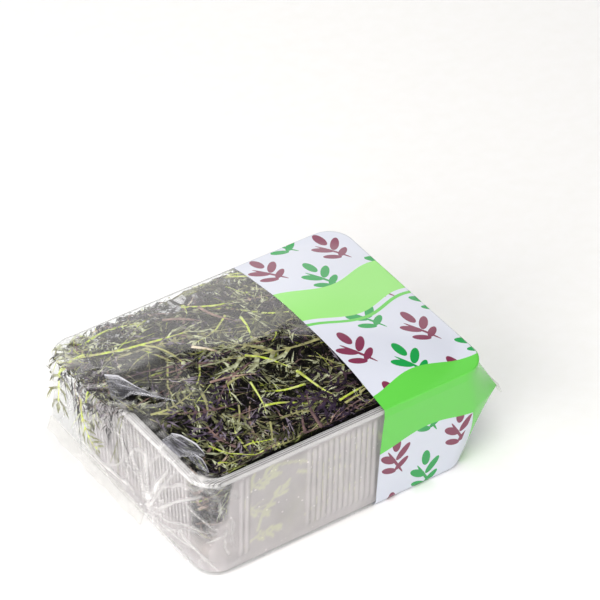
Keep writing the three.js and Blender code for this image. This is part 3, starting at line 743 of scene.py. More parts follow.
# The leaves that catch the eye first: the foot of the stalk, the tip, the bend, the kind, the
# patterns, the tones of blade and stalk, and the size.
SHOWN = [
    ((-92, 57), (-30, 36), -0.06, "green", stem_patterns, 0.9, 0.85, 1.7),
    ((-61, 44), (-50, 15), 0.1, "green", stem_patterns, 0.9, 0.8, 1.3),
    ((-82, 66), (-50, 62), 0.12, "green", stalk_patterns, 0.9, 0.95, 0.9),
    ((-22, 60), (8, 44), -0.1, "green", stalk_patterns, 0.9, 0.9, 0.8),
    ((-38, 55), (-21, 37), 0.1, "red", stalk_patterns, 0.8, 0.7, 1.2),
    ((-15, 53), (-4, 24), -0.08, "red", stalk_patterns, 0.8, 0.74, 1.0),
    ((-39, 23), (-28, 6), 0.05, "red", stalk_patterns, 0.7, 0.95, 1.2),
    ((-2, 29), (-8, 9), 0.04, "green", stalk_patterns, 0.9, 0.95, 1.0),
    ((-6, -2), (-30, 36), 0.1, "green", broad_patterns, 0.92, 0.75, 0.9),
    ((-6, -6), (-37, 17), -0.12, "green", wide_patterns, 0.82, 0.7, 0.9),
    ((-8, 36), (-36, 24), 0.1, "green", fine_patterns, 0.95, 0.8, 1.2),
    ((-47, -8), (-22, -18), 0.05, "red", stalk_patterns, 0.8, 0.85, 0.9),
    ((-86, -8), (-58, -8), -0.1, "green", wide_patterns, 0.8, 0.7, 1.0),
    ((26, -12), (-34, 5), 0.07, "green", wide_patterns, 0.88, 0.72, 1.3),
    ((-19, -1), (-4, -22), 0.05, "green", stalk_patterns, 0.9, 0.93, 0.9),
    ((-2, -27), (5, -52), -0.03, "green", stalk_patterns, 0.9, 0.93, 1.0),
    ((-4, -38), (-27, -31), 0.06, "green", stalk_patterns, 0.9, 0.96, 0.9),
    ((6, -57), (30, -55), 0.03, "green", stalk_patterns, 0.9, 0.86, 0.9),
    ((18, -60), (-18, -42), 0.05, "red", wide_patterns, 0.72, 0.3, 1.1),
    ((22, -50), (-12, -58), -0.08, "red", wide_patterns, 0.64, 0.3, 0.9),
    ((30, -44), (2, -36), 0.06, "red", wide_patterns, 0.6, 0.3, 1.0),
    ((-32, -40), (-10, -51), 0.06, "green", stalk_patterns, 0.9, 0.9, 0.9),
    ((-13, -68), (-7, -44), 0.08, "red", stalk_patterns, 0.8, 0.52, 1.3),
    ((-40, -66), (-74, -46), 0.22, "green", stem_patterns, 0.9, 0.95, 1.2),
    ((-29, -21), (-34, -44), 0.03, "green", stalk_patterns, 0.9, 0.97, 0.8),
    ((-62, -56), (-66, -30), 0.1, "red", wide_patterns, 0.8, 0.6, 1.0),
    ((-44, -30), (-76, -14), 0.1, "red", wide_patterns, 0.78, 0.5, 0.8),
    ((-20, -8), (-52, -24), -0.1, "red", wide_patterns, 0.7, 0.5, 0.9),
]
# Smaller ones at the near rim: pale stems, and blades that lie along the tray's edge.
BY_THE_RIM = [
    ((-36, -51), (-45, -66), 0.03, "green", stem_patterns, 0.85, 0.7, 1.3),
    ((-40, -15), (-28, -15), 0.05, "green", stalk_patterns, 0.8, 0.72, 1.1),
    ((-50, -65), (-26, -67), -0.05, "green", wide_patterns, 0.62, 0.6, 0.8),
    ((-7, -67), (3, -62), 0.05, "red", stem_patterns, 0.7, 0.7, 1.2),
    ((19, -58), (28, -56), 0.05, "green", stalk_patterns, 0.9, 0.8, 0.9),
    ((8, -60), (19, -59), 0.05, "green", stalk_patterns, 0.9, 0.82, 1.0),
    ((-44, -32), (-54, -46), 0.05, "green", stem_patterns, 0.8, 0.66, 1.2),
    ((-51, -37), (-35, -39), -0.06, "red", stem_patterns, 0.7, 0.72, 1.2),
    ((-55, -12), (-63, -30), 0.06, "green", stalk_patterns, 0.75, 0.62, 1.1),
    ((-58, -58), (-42, -62), 0.05, "green", wide_patterns, 0.8, 0.9, 0.7),
    ((-76, -60), (-68, -66), 0.1, "green", broad_patterns, 0.9, 0.9, 1.0),
    ((-23, -66), (-18, -56), 0.05, "red", stalk_patterns, 0.6, 0.5, 1.1),
    ((-30, -52), (-10, -57), 0.08, "green", wide_patterns, 0.66, 0.62, 0.8),
    ((2, -66), (28, -67), 0.05, "red", wide_patterns, 0.72, 0.5, 0.8),
    ((-27, -66), (4, -67), -0.04, "red", broad_patterns, 0.75, 0.62, 1.1),
    ((-74, -64), (-50, -67), 0.05, "green", broad_patterns, 0.6, 0.66, 1.1),
    ((-8, -63), (-30, -68), 0.04, "green", broad_patterns, 0.55, 0.66, 1.0),
    ((18, -62), (-4, -67), -0.06, "red", wide_patterns, 0.66, 0.62, 0.7),
    ((34, -60), (12, -67), 0.05, "green", broad_patterns, 0.5, 0.7, 1.0),
    ((-34, -62), (-58, -67), 0.05, "red", wide_patterns, 0.66, 0.55, 0.7),
]


def lay_shown(leaves, draw):
    """Lays leaves spread out right under the film."""
    for n, (foot, tip, bend, kind, patterns, blade, stalk, size) in enumerate(leaves):
        foot, tip = Vector((*foot, 0)), Vector((*tip, 0))
        side = Vector((foot.y - tip.y, tip.x - foot.x, 0)) * bend
        path = [foot.lerp(tip, i / 9) + side * math.sin(math.pi * i / 9) for i in range(10)]
        for i, p in enumerate(path):
            p.z = dome_over(p.x, p.y) - 1.2 - 0.3 * math.sin(0.9 * i + n)
        lay_leaf(
            *kinds[kind],
            patterns[n % len(patterns)],
            path,
            Vector((0, 0, 1)),
            size,
            draw.gauss(0, 0.2),
            (blade, stalk),
            lambda p: in_pack(p, 0.8, 0.8),
            lambda p: 1,
            draw.gauss(0, 0.3),
        )


lay_shown(SHOWN, draw)
lay_shown(BY_THE_RIM, random.Random(6))

# Stems and leaves stand behind the clear corners at the tray's left end.
for n in range(CORNERS):
    far = n % 3 == 2
    x, y, z = -85 + draw.uniform(-3, 12), -64 + draw.uniform(-3, 14), draw.uniform(10, 70)
    heading, rise, length = draw.uniform(-1.2, 0.3), draw.gauss(0, 0.3), draw.uniform(24, 60)
    depth = draw.uniform(0.4, 4.5)
    flip = -1 if far else 1
    path = [
        Vector((x + math.cos(heading) * length * t, flip * (y + math.sin(heading) * length * t), z))
        + Vector((0, 0, rise * length * t))
        for t in (i / 8 - 0.5 for i in range(9))
    ]
    bm, layers = kinds["green" if n % 7 == 0 else "red"]
    lay_leaf(
        bm,
        layers,
        draw.choice(fine_patterns if n % 3 == 0 else stem_patterns),
        [in_pack(p, depth, 6) for p in path],
        Vector((-0.7, -0.7 * flip, 0)),
        draw.uniform(1.0, 1.9),
        draw.gauss(0, 0.3),
        (draw.uniform(0.4, 1), draw.uniform(0.6, 0.88)),
        lambda p: in_pack(p, 0.4, 4),
        # Painted shade: the further in from the wall, the darker the leaf.
        lambda p: 1 - depth / 9,
        draw.gauss(0, 0.5),
    )

# Leaves that touch the near wall: foot and tip, each as a distance along it and a height, and the
# bend. They wipe off the fog there, which the wall's attribute ribbed holds as its second number.
touching = new_leaves()
TOUCHING = [
    ((-44, 66), (-4, 40), 0.3),
    ((-56, 22), (-38, 46), 0.3),
    ((-60, 60), (-50, 34), -0.5),
    ((-66, 42), (-46, 62), 0.4),
    ((-30, 54), (-14, 26), 0.5),
    ((-66, 14), (-42, 16), 0.2),
    ((-2, 62), (16, 42), 0.6),
    ((-24, 18), (6, 24), 0.3),
    ((36, 30), (60, 56), 0.4),
    ((70, 20), (40, 14), 0.5),
]
for n, ((x, z), (to_x, to_z), bend) in enumerate(TOUCHING):
    length = math.hypot(to_x - x, to_z - z)
    side_x, side_z = (z - to_z) / length, (to_x - x) / length
    path = [
        Vector((x + (to_x - x) * t, -70, z + (to_z - z) * t))
        + Vector((side_x, 0, side_z)) * bend * 16 * math.sin(math.pi * t)
        for t in (i / 8 for i in range(9))
    ]
    lay_leaf(
        *touching,
        (broad_patterns, stem_patterns, fine_patterns)[n % 3][n % 8],
        [in_pack(p, 0.5, 6) for p in path],
        Vector((0, -1, 0)),
        (1.1, 0.8)[n % 2],
        0,
        (0.9, 0.62),
        lambda p: in_pack(p, 0.3, 6),
        lambda p: 1,
    )
wipes = BVHTree.FromBMesh(touching[0])
rings = bmesh.new()
rings.from_mesh(tray.data)
marks = rings.verts.layers.float_vector["ribbed"]
for v in rings.verts:
    if v.co.y < 0 and 0.004 < v.co.z < 0.07:
        near = wipes.find_nearest(v.co, 2.6 * MM)[3]
        v[marks].y = 0 if near is None else 1 - smooth(1.2, 1.6, near / MM)
rings.to_mesh(tray.data)
rings.free()
leaf = bpy.data.meshes.new("touching")
touching[0].to_mesh(leaf)
touching[0].free()
kinds["green"][0].from_mesh(leaf)

# More leaves lie along all four walls, some of them close enough to show through the fog.
for n in range(SIDES):
    side = (0, 0, 3, 1, 2)[n % 5]
    angle = math.pi / 2 * (side - 1)
    out = Vector((math.cos(angle), math.sin(angle), 0))
    run = Vector((-out.y, out.x, 0))
    along = draw.uniform(-1, 1) * (82 if side % 2 == 0 else 62)
    z = draw.uniform(5, 66)
    half = wall_at(z)[0 if side % 2 else 1]
    heading = draw.uniform(0, 2 * math.pi)
    length = draw.uniform(30, 62)
    close = n % 5 < 2 and n % 4 == 0
    depth = 1.2 if close else draw.uniform(1.8, 8)
    path = [
        out * (half - depth)
        + run * (along + math.cos(heading + 0.5 * t) * length * (t - 0.5))
        + Vector((0, 0, z + math.sin(heading + 0.5 * t) * length * (t - 0.5)))
        for t in (i / 8 for i in range(9))
    ]
    bm, layers = kinds["green" if close else kind_at(-40, 0, draw)]
    lay_leaf(
        bm,
        layers,
        draw.choice(fine_patterns if n % 2 else broad_patterns),
        [in_pack(p, depth, 6) for p in path],
        out,
        draw.uniform(0.6, 1.0),
        draw.gauss(0, 0.3),
        (1, 1) if close else (draw.random() ** 1.5, draw.random()),
        lambda p: in_pack(p, 0.3 if close else 0.9, 4),
        # Painted shade: the further in from the wall, the darker the leaf.
        lambda p: 1 - depth / 12,
        draw.gauss(0, 0.6),
    )

# Some leaves hang out over the left end, bent over the rim between the tray and the film. One of
# them is a bright stalk near the far corner, and another a green tip that rests on the sealed end.
STALK_OUT, TIP_OUT = 5, 16
TIP_PATH = [(-103, 38, 66), (-106, 33, 60), (-109, 27, 54), (-110, 20, 50), (-110, 12, 49)]
for n in range(SPILL):
    y = 2 + 64 * ((n * GOLDEN) % 1)
    sheet = -(film_end(y, 71) - draw.uniform(1.4, 3.2) - (3 if n % 3 == 0 and y > 30 else 0))
    over = 76.2 + draw.uniform(0, 1.2)
    hang = 73 - 28 * draw.random() ** 2
    drift = draw.uniform(-26, 26)
    knee = over - draw.uniform(4, 9)
    start = draw.uniform(-84, -56)
    if n == STALK_OUT:
        y, drift, hang, start, sheet = 58, -2, 50, -56, -105
    outline = [
        (start, 70),
        ((start - 90) / 2, 74),
        (-88, over),
        (-94, over + 0.4),
        (sheet + 2.5, over - 0.8),
        (sheet, knee),
        (sheet - 1, (knee + hang) / 2),
        (sheet - 2, hang),
    ]
    path = [
        Vector((px, min(68, max(-6, y + drift * (i / 7 - 0.4))), z))
        for i, (px, z) in enumerate(outline)
    ]
    if n == TIP_OUT:
        path = [Vector(p) for p in TIP_PATH]
    stalk = n % 12 == STALK_OUT
    bm, layers = kinds["green" if stalk or n % 4 == 0 else "red"]
    patterns = stalk_patterns if stalk else (bit_patterns, stem_patterns, fine_patterns)[n % 3]
    lay_leaf(
        bm,
        layers,
        draw.choice(wide_patterns if n == TIP_OUT else patterns),
        path,
        Vector((-0.5, 0, 0.87)),
        1.4 if n == STALK_OUT else draw.uniform(0.55, 0.95),
        draw.gauss(0, 0.5),
        (0.8, 0.84) if n == TIP_OUT else (draw.random() ** 1.3, 1 if stalk else draw.random()),
        lambda p: Vector((max(p.x, 1.0 - film_end(p.y, p.z)), min(70, p.y), min(p.z, FILM["edge"]))),
        lambda p: 1,
        draw.gauss(0, 0.8),
    )

for kind, slot, material in (
    ("red", "leaf_purple", red_leaf),
    ("green", "leaf_green", green_leaf),
):
    leaves = shown(f"heap_leaves_{kind}", kinds[kind][0], material)
    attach(leaves, "root")
    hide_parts("mizuna_heap")

# Deep in the tray the leaves are packed into one dense mass. Its near-black colour is the dark
# leaves' own tone made darker still, painted shade for the little light that gets down there.
# Each of its levels is given by how far it is drawn in, and by its height.
CORE_LEVELS = [(5, 2.8), (0, 7.8), (0, 24), (-1, 40), (0, 56), (8, 61), (24, 65), (42, 67)]


def core_rings():
    half_x, half_y = (half - 7.8 for half in wall_at(20))
    rings = []
    for (inset, z), (next_inset, next_z) in zip(CORE_LEVELS, CORE_LEVELS[1:]):
        for i in range(6):
            t = i / 6
            cut_x = half_x - inset - (next_inset - inset) * t
            cut_y = half_y - inset - (next_inset - inset) * t
            ring = tray_outline(cut_x, cut_y, 12, z + (next_z - z) * t)[::4]
            rings.append(ring)
    first = [(0, 0, CORE_LEVELS[0][1])] * len(rings[0])
    last = [(0, 0, CORE_LEVELS[-1][1])] * len(rings[0])
    return [first, *rings, last]


bm = wrapped(core_rings(), "ribbed")
for v in bm.verts:
    v.co += v.normal * noise.noise(v.co * 160) * 2.4 * MM
dense_leaf_in_shade, tree = new_material("mizuna_mass_painted_shade")
place = add(tree, "TexCoord")
cells = add(tree, "TexVoronoi", {}, {"Vector": place.outputs["Object"], "Scale": 220})
# Near-black tones: painted shade over the leaves' own dark colours.
shade = add(
    tree,
    "ValToRGB",
    {"stops": [(0, linear("060506")), (0.5, linear("0F0B11")), (1, linear("1A1C13"))]},
    {"Fac": cells.outputs["Color"]},
)
bump = add(tree, "Bump", {}, {"Strength": 0.9, "Distance": 0.002, "Height": cells})
surface = add(tree, "BsdfDiffuse", {}, {"Color": shade, "Normal": bump})
add(tree, "OutputMaterial", {}, {"Surface": surface})
mass = shown("heap_mass", bm, dense_leaf_in_shade)
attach(mass, "root")
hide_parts("mizuna_heap")

# Eight larger leaves lie on top of the heap, pressed up against the film: the place of the foot,
# the heading in degrees, length, width, the source's seed for the bend, and depth under the film.
LAID = [
    (-82, 44, -12, 84, 11, 11, 1.7),
    (-30, 2, 14, 80, 12, 12, 1.7),
    (-84, -8, -38, 66, 11, 13, 1.7),
    (82, -44, 176, 78, 11, 14, 1.7),
    (-20, 60, -122, 74, 12, 15, 3.1),
    (12, -60, 80, 64, 11, 16, 3.1),
    (80, 52, 196, 64, 12, 17, 3.1),
    (-82, -52, 26, 66, 11, 18, 3.1),
]
for n, (x, y, heading, length, width, seed, depth) in enumerate(LAID):
    bend = -0.3 + 0.6 * ((seed * 1664525 + 1013904223) % 2**32) / 2**32
    bm, layers = new_leaves()
    lay_leaf(
        bm,
        layers,
        leaf_pattern(8, 0.24, width, 1.0, 0.011, 200 + n),
        path_over(x, y, math.radians(heading), bend, length, lambda t: depth, 12),
        Vector((0, 0, 1)),
        1,
        0,
        (0.55 + 0.1 * (n % 4), 0.6),
        lambda p: Vector((p.x, p.y, min(p.z, dome_over(p.x, p.y) - 0.9))),
        lambda p: 1,
    )
    green = depth < 2
    leaf = shown(f"laid_leaf_{n + 1}_cut", bm, green_leaf if green else red_leaf)
    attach(leaf, "root")
    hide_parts(f"laid_leaf_{n + 1}")

# The wrap is one sheet of clear film, printed at its right end, drawn tight round tray and leaves
# and closed by a crimped seal at each end. Each level gives, for the four corners, how far out the
# end lies and where the corner's curve starts. round is 1 for an arc and 0 for a flat cut.
CORNER_SIGNS = [(1, -1), (1, 1), (-1, 1), (-1, -1)]
FILM_LEVELS = [
    {"z": 0, "ends": [87.7, 87.7, 87.7, 87.7], "side": 66.7, "round": 1, "cuts": [(13, 13)] * 4},
    {"z": 2.6, "ends": [89.3, 89.3, 90.2, 89.3], "side": 68.3, "round": 1, "cuts": [(14, 14)] * 4},
    {
        "z": FILM["seal_z"],
        "ends": [FILM["seal_x"]] * 4,
        "side": 71.8,
        "round": 0.3,
        "cuts": [(22, 9), (22, 9), (24, 15), (27, 31)],
    },
    {
        "z": FILM["bend_z"],
        "ends": [96.6, 96.6, 107, 96.6],
        "side": 75.3,
        "round": 1,
        "cuts": [(17, 17)] * 4,
    },
    {"z": 76.2, "ends": [96, 96, 106, 96], "side": 75.1, "round": 1, "cuts": [(15.5, 15.5)] * 4},
]
SIDE_STEPS, END_STEPS, FOLD_STEPS = 120, (60, 140), (12, 44)


def film_outline(level):
    """Points round the film at one of its levels, from the near left corner. After its place, a
    point holds its place on the flat print: along the pack and across it."""
    corners = []
    for n, (sx, sy) in enumerate(CORNER_SIGNS):
        half_x, half_y = level["ends"][n], level["side"]
        cut_x, cut_y = level["cuts"][n]
        corners.append(
            (
                Vector((sx * (half_x - cut_x), sy * half_y)),
                Vector((sx * half_x, sy * (half_y - cut_y))),
                Vector((sx * (half_x - cut_x), sy * (half_y - cut_y))),
            )
        )
    near_right, far_right, far_left, near_left = corners
    drop = 76.2 - level["z"]
    points = []

    def on_side(p):
        return Vector((p.x, math.copysign(75 + drop, p.y)))

    def on_end(p):
        return Vector((math.copysign(96 + drop, p.x), p.y * 1.12))

    def line(start, end, count, flat):
        for i in range(count):
            p = start.lerp(end, i / count)
            points.append((p.x, p.y, level["z"], *flat(p)))

    def fold(start, end, centre, flat_start, flat_end):
        steps = FOLD_STEPS[start.x < 0]
        for i in range(steps):
            t = i / steps
            angle = t * math.pi / 2
            arc = centre + (start - centre) * math.cos(angle) + (end - centre) * math.sin(angle)
            p = start.lerp(end, t).lerp(arc, level["round"])
            points.append((p.x, p.y, level["z"], *flat_start(start).lerp(flat_end(end), t)))

    line(near_left[0], near_right[0], SIDE_STEPS, on_side)
    fold(*near_right, on_side, on_end)
    line(near_right[1], far_right[1], END_STEPS[0], on_end)
    fold(far_right[1], far_right[0], far_right[2], on_end, on_side)
    line(far_right[0], far_left[0], SIDE_STEPS, on_side)
    fold(*far_left, on_side, on_end)
    line(far_left[1], near_left[1], END_STEPS[1], on_end)
    fold(near_left[1], near_left[0], near_left[2], on_end, on_side)
    return points


def film_rings():
    outlines = [film_outline(level) for level in FILM_LEVELS]
    base = outlines[0]
    rings = [
        [(x * share, y * share, 0, u, v) for x, y, z, u, v in base] for share in (0, 0.5, 0.9, 0.97)
    ]
    for low, high, rows in zip(outlines, outlines[1:], (3, 42, 28, 5)):
        for i in range(rows):
            t = i / rows
            rings.append(
                [tuple(p + (q - p) * t for p, q in zip(a, b)) for a, b in zip(low, high)]
            )
    edge = outlines[-1]
    rings.append(edge)
    for share in (0.993, 0.985, *(0.965 - 0.03 * i for i in range(33))):
        ring = [(x * share, y * share) for x, y, *_ in edge]
        rings.append([(x, y, dome_over(x, y), x, y) for x, y in ring])
    return rings


# Folds of the film at its left end: they run together where the sealed end is tucked in. Each has
# its two ends, its width and its height, which is below zero in a hollow. The seed sets the noise
# that bends them, so that each run gives the same folds.
noise.seed_set(7)
KNOT = Vector((-108, -42, 46))
FOLDS = [
    (KNOT, (-97, -22, 75), 1.5, 1.1),
    ((-107, -34, 52), (-99, 2, 74), 1.6, 0.9),
    (KNOT, (-100, 22, 75), 1.2, 0.7),
    ((-110, -28, 46), (-111, 30, 47), 1.6, 1.0),
    (KNOT, (-96, -44, 74), 1.3, 1.2),
    ((-104, -47, 50), (-90, -64, 68), 1.5, 1.1),
    (KNOT, (-79, -71.5, 35), 1.3, 1.3),
    ((-97, -57, 60), (-79, -71.5, 35), 1.3, 1.2),
    ((-87, -65, 28), (-79, -71.5, 35), 1.3, 1.1),
    ((-79, -71.5, 35), (-76, -70.5, 16), 1.4, 1.0),
    ((-100, -56, 34), (-82, -68, 6), 1.4, 1.0),
    ((-105, -46, 40), (-82, -66, 12), 1.5, 1.0),
    (KNOT, (-89, -52, 4), 1.5, 1.0),
    ((-106, -34, 36), (-90, -30, 4), 1.6, 0.8),
    (KNOT, (-92, 0, 10), 1.3, 0.8),
    ((-108, -20, 38), (-104, 34, 26), 1.5, 0.8),
    ((-90, -68, 77), (-70, -75, 60), 2.0, 0.7),
    ((-88, -66, 77), (-71, -73, 20), 2.2, 0.6),
    ((-96, -60, 75), (-78, -75, 76), 1.8, 0.7),
    ((-90, 33, 80), (-71, -10, 82), 1.8, 0.8),
    ((-97, 16, 78), (-71, -10, 82), 2.6, -0.9),
    ((-90, -21, 79), (-88, -48, 78), 1.8, 0.9),
    ((-98, -36, 74), (-88, -48, 78), 2.2, -0.8),
]


def fold_height(p, normal):
    """How far the folds lift the film at a place, in millimetres. The distance to a fold is taken
    along the film."""
    height = 0
    p = p + noise.noise_vector(p / 16) * 4 * smooth(4, 16, (p - KNOT).length)
    for start, end, width, lift in FOLDS:
        start, end = Vector(start), Vector(end)
        run = end - start
        t = min(1, max(0, (p - start).dot(run) / run.length_squared))
        gap = p - start - run * t
        deep = gap.dot(normal)
        off = (gap - normal * deep).length / width
        if off < 1 and abs(deep) < 7:
            raised = (1 - off) ** 1.5 * (0.35 + 0.65 * math.sin(math.pi * (0.15 + 0.8 * t)))
            height = max(height, lift * raised) if lift > 0 else height + lift * raised
    wrinkle = max(0, 1 - 5 * abs(noise.noise(p / 17 + Vector((3, 0, 0))))) ** 2
    return height + 0.4 * wrinkle * smooth(84, 92, -p.x)


def gathered_height(p):
    """How far the crumpled film round the knot stands out at a place, in millimetres."""
    return 4 * (1 - smooth(3, 18, (p - KNOT).length)) * (0.3 - abs(noise.noise(p / 4.5)))


film_clear, tree = new_material("bopp_film_clear_and_printed")
place = add(tree, "TexCoord")
spot = add(tree, "SeparateXYZ", {}, {0: place.outputs["Object"]})
printed = add(tree, "Attribute", {"attribute_name": "print_place"})
printed = add(tree, "SeparateXYZ", {}, {0: printed.outputs["Vector"]})
u, v = printed.outputs[0], printed.outputs[1]

# Clear film: two faces of gloss that grow towards the rim of sight, and no colour of its own.
facing = add(tree, "LayerWeight", {}, {"Blend": 0.5})
edge = add(tree, "Math", {"operation": "POWER"}, {0: facing.outputs["Facing"], 1: 5})
gloss = add(tree, "Math", {"operation": "MULTIPLY_ADD", "use_clamp": True}, {0: edge, 1: 1.1, 2: 0.08})
crinkle = add(
    tree,
    "TexNoise",
    {"noise_type": "RIDGED_MULTIFRACTAL"},
    {"Vector": place.outputs["Object"], "Scale": 26, "Detail": 4},
)
at_left = add(tree, "MapRange", {}, {"Value": spot.outputs[0], 1: -0.084, 2: -0.095})
off_back = add(tree, "MapRange", {}, {"Value": spot.outputs[1], 1: 0.040, 2: 0.015})
off_near = add(tree, "MapRange", {}, {"Value": spot.outputs[1], 1: -0.067, 2: -0.050})
leftness = add(tree, "Math", {"operation": "MULTIPLY"}, {0: at_left, 1: off_back})
leftness = add(tree, "Math", {"operation": "MULTIPLY"}, {0: leftness, 1: off_near})
relief = add(tree, "Math", {"operation": "MULTIPLY_ADD"}, {0: at_left, 1: 0.4, 2: 0.06})
bump = add(tree, "Bump", {}, {"Strength": relief, "Distance": 0.002, "Height": crinkle})
through = add(tree, "BsdfTransparent", {}, {"Color": linear("FBFCFC")})
mirror = add(tree, "BsdfAnisotropic", {}, {"Color": linear("FFFFFF"), "Roughness": 0.09, "Normal": bump})
clear = add(tree, "MixShader", {}, {"Fac": gloss, 1: through, 2: mirror})

# Gathered film at the left end: fine pleats run to the knot, and each has a painted white highlight along
# its edge.
from_knot_y = add(tree, "Math", {"operation": "SUBTRACT"}, {0: spot.outputs[1], 1: KNOT.y * MM})
from_knot_z = add(tree, "Math", {"operation": "SUBTRACT"}, {0: spot.outputs[2], 1: KNOT.z * MM})
ray = add(tree, "Math", {"operation": "ARCTAN2"}, {0: from_knot_z, 1: from_knot_y})
waver = add(tree, "TexNoise", {}, {"Vector": place.outputs["Object"], "Scale": 22, "Detail": 2})
ray = add(tree, "Math", {"operation": "MULTIPLY_ADD"}, {0: waver, 1: 1.1, 2: ray})
pleat = add(
    tree,
    "TexNoise",
    {"noise_dimensions": "1D"},
    {"W": ray, "Scale": 3.2, "Detail": 3, "Roughness": 0.55},
)
patchy = add(tree, "TexNoise", {}, {"Vector": place.outputs["Object"], "Scale": 45, "Detail": 3})
patchy = add(tree, "MapRange", {}, {"Value": patchy, 1: 0.35, 2: 0.65, 3: 0.3, 4: 1})
painted_highlight = add(tree, "MapRange", {}, {"Value": pleat, 1: 0.46, 2: 0.7, 3: 0.04, 4: 0.34})
painted_highlight = add(tree, "Math", {"operation": "MULTIPLY"}, {0: painted_highlight, 1: patchy})
haze_and_highlight = add(tree, "Math", {"operation": "MULTIPLY"}, {0: painted_highlight, 1: leftness})
# The folds' height, kept with the print's place, paints white highlights on the folds.
fold_highlight = {0: printed.outputs[2], 1: 0.85, 2: haze_and_highlight}
haze_and_highlight = add(tree, "Math", {"operation": "MULTIPLY_ADD", "use_clamp": True}, fold_highlight)
coat = add(tree, "BsdfPrincipled", {}, {"Base Color": linear("FAF9F8"), "Roughness": 0.25, "Normal": bump})
glow = add(tree, "BsdfTranslucent", {}, {"Color": linear("FAF9F8")})
highlight_shader = add(tree, "MixShader", {}, {"Fac": 0.5, 1: coat, 2: glow})
clear = add(tree, "MixShader", {}, {"Fac": haze_and_highlight, 1: clear, 2: highlight_shader})

# The print: white ground with small sprigs, a light green wave and a deeper green front edge. It
# is laid out on the flat film: u runs along the pack and v across it, in millimetres.
swell = add(tree, "Math", {"operation": "MULTIPLY"}, {0: u, 1: 0.085})
swell = add(tree, "Math", {"operation": "SINE"}, {0: swell})
middle = add(tree, "Math", {"operation": "MULTIPLY_ADD"}, {0: swell, 1: 5, 2: 15})
off_wave = add(tree, "Math", {"operation": "SUBTRACT"}, {0: v, 1: middle})
in_wave = add(tree, "Math", {"operation": "COMPARE"}, {0: off_wave, 1: 0, 2: 15})
in_line = add(tree, "Math", {"operation": "COMPARE"}, {0: off_wave, 1: -19.5, 2: 1.2})
low_edge = add(tree, "Math", {"operation": "MULTIPLY_ADD"}, {0: swell, 1: -3.5, 2: -84})
off_low = add(tree, "Math", {"operation": "SUBTRACT"}, {0: v, 1: low_edge})
in_low = add(tree, "Math", {"operation": "COMPARE"}, {0: off_low, 1: 0, 2: 23})
flat = add(tree, "CombineXYZ", {}, {0: u, 1: v})
# A sprig is six ovals: a stem and five leaves, each with its centre, turn and half-sizes.
SPRIG = [((0, -3), 0.5, 0.9, 12), ((5, 3), -0.7, 2.6, 6.5), ((-5, 1), 0.9, 2.6, 6.5)]
SPRIG += [((4.5, -6), -0.9, 2.2, 5.5), ((-4, -8), 1.1, 2.2, 5.5), ((0, 11), 0.1, 2.9, 6)]
# Sprigs are printed on the top and on the long sides, and not on the leaning right end.
limit = add(tree, "Math", {"operation": "MULTIPLY_ADD"}, {0: spot.outputs[2], 1: 0.33, 2: 0.0745})
limit = add(tree, "Math", {"operation": "MINIMUM"}, {0: limit, 1: 0.0885})
on_face = add(tree, "Math", {"operation": "LESS_THAN"}, {0: spot.outputs[0], 1: limit})
on_top = add(tree, "Math", {"operation": "GREATER_THAN"}, {0: spot.outputs[2], 1: 0.07})
off_end = add(tree, "Math", {"operation": "MAXIMUM"}, {0: on_face, 1: on_top})
inks = []
for shift, shade in (((31, 9, 0), "1C9A4A"), ((9, 31, 0), "7E3350")):
    cell = add(tree, "VectorMath", {"operation": "ADD"}, {0: flat, 1: shift})
    tile = {0: cell, 1: (22, 22, 1), 2: (-22, -22, -1)}
    cell = add(tree, "VectorMath", {"operation": "WRAP"}, tile)
    found = None
    for centre, angle, half_width, half_length in SPRIG:
        local = add(
            tree,
            "Mapping",
            {"vector_type": "TEXTURE"},
            {
                "Vector": cell,
                "Location": (*centre, 0),
                "Rotation": (0, 0, angle),
                "Scale": (half_width, half_length, 1),
            },
        )
        reach = add(tree, "VectorMath", {"operation": "LENGTH"}, {0: local}).outputs["Value"]
        inside = add(tree, "Math", {"operation": "LESS_THAN"}, {0: reach, 1: 1})
        if found is None:
            found = inside
        else:
            found = add(tree, "Math", {"operation": "MAXIMUM"}, {0: found, 1: inside})
    found = add(tree, "Math", {"operation": "MULTIPLY"}, {0: found, 1: off_end})
    inks.append((found, shade))
colour = add(tree, "RGB")
colour.outputs[0].default_value = linear("D3D7E3")
for found, shade in (*inks, (in_line, "66C653"), (in_wave, "93DE73"), (in_low, "63CC4C")):
    colour = add(tree, "MixRGB", {}, {"Fac": found, "Color1": colour, "Color2": linear(shade)})
glossy = {"Base Color": colour, "Roughness": 0.22, "IOR": 1.5, "Normal": bump}
ink = add(tree, "BsdfPrincipled", {}, glossy)
is_printed = add(tree, "Math", {"operation": "GREATER_THAN"}, {0: u, 1: 23.5})
surface = add(tree, "MixShader", {}, {"Fac": is_printed, 1: clear, 2: ink})
add(tree, "OutputMaterial", {}, {"Surface": surface})

bm = wrapped(film_rings(), "print_place")
marks = bm.verts.layers.float_vector["print_place"]
for vert in bm.verts:
    if vert.co.x < -0.06 and vert.co.z > 0.001:
        height, crumple = fold_height(vert.co / MM, vert.normal), gathered_height(vert.co / MM)
        vert.co += vert.normal * (height + crumple) * MM
        # The folds' height is kept for the film's shader, which paints white highlights on them.
        vert[marks].z = max(0, height + 0.3 * crumple)
    on_top = smooth(77.6, 79.5, vert.co.z / MM)
    vert.co.z += on_top * 0.35 * MM * noise.noise(vert.co * 42)
film = shown("film_sheet", bm, film_clear)
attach(film, "root")
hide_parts("film_wrap")

# Each end is closed by a crimped seal: both sheets are pressed together between ridged hot jaws
# and cut off in a strip that hangs down.
SEAL = {"reach": FILM["seal_x"] + 1.3, "z": FILM["seal_z"] + 0.5, "drop": 7.6, "lean": 3}
SEAL |= {"ridges": 6, "thick": 0.7}
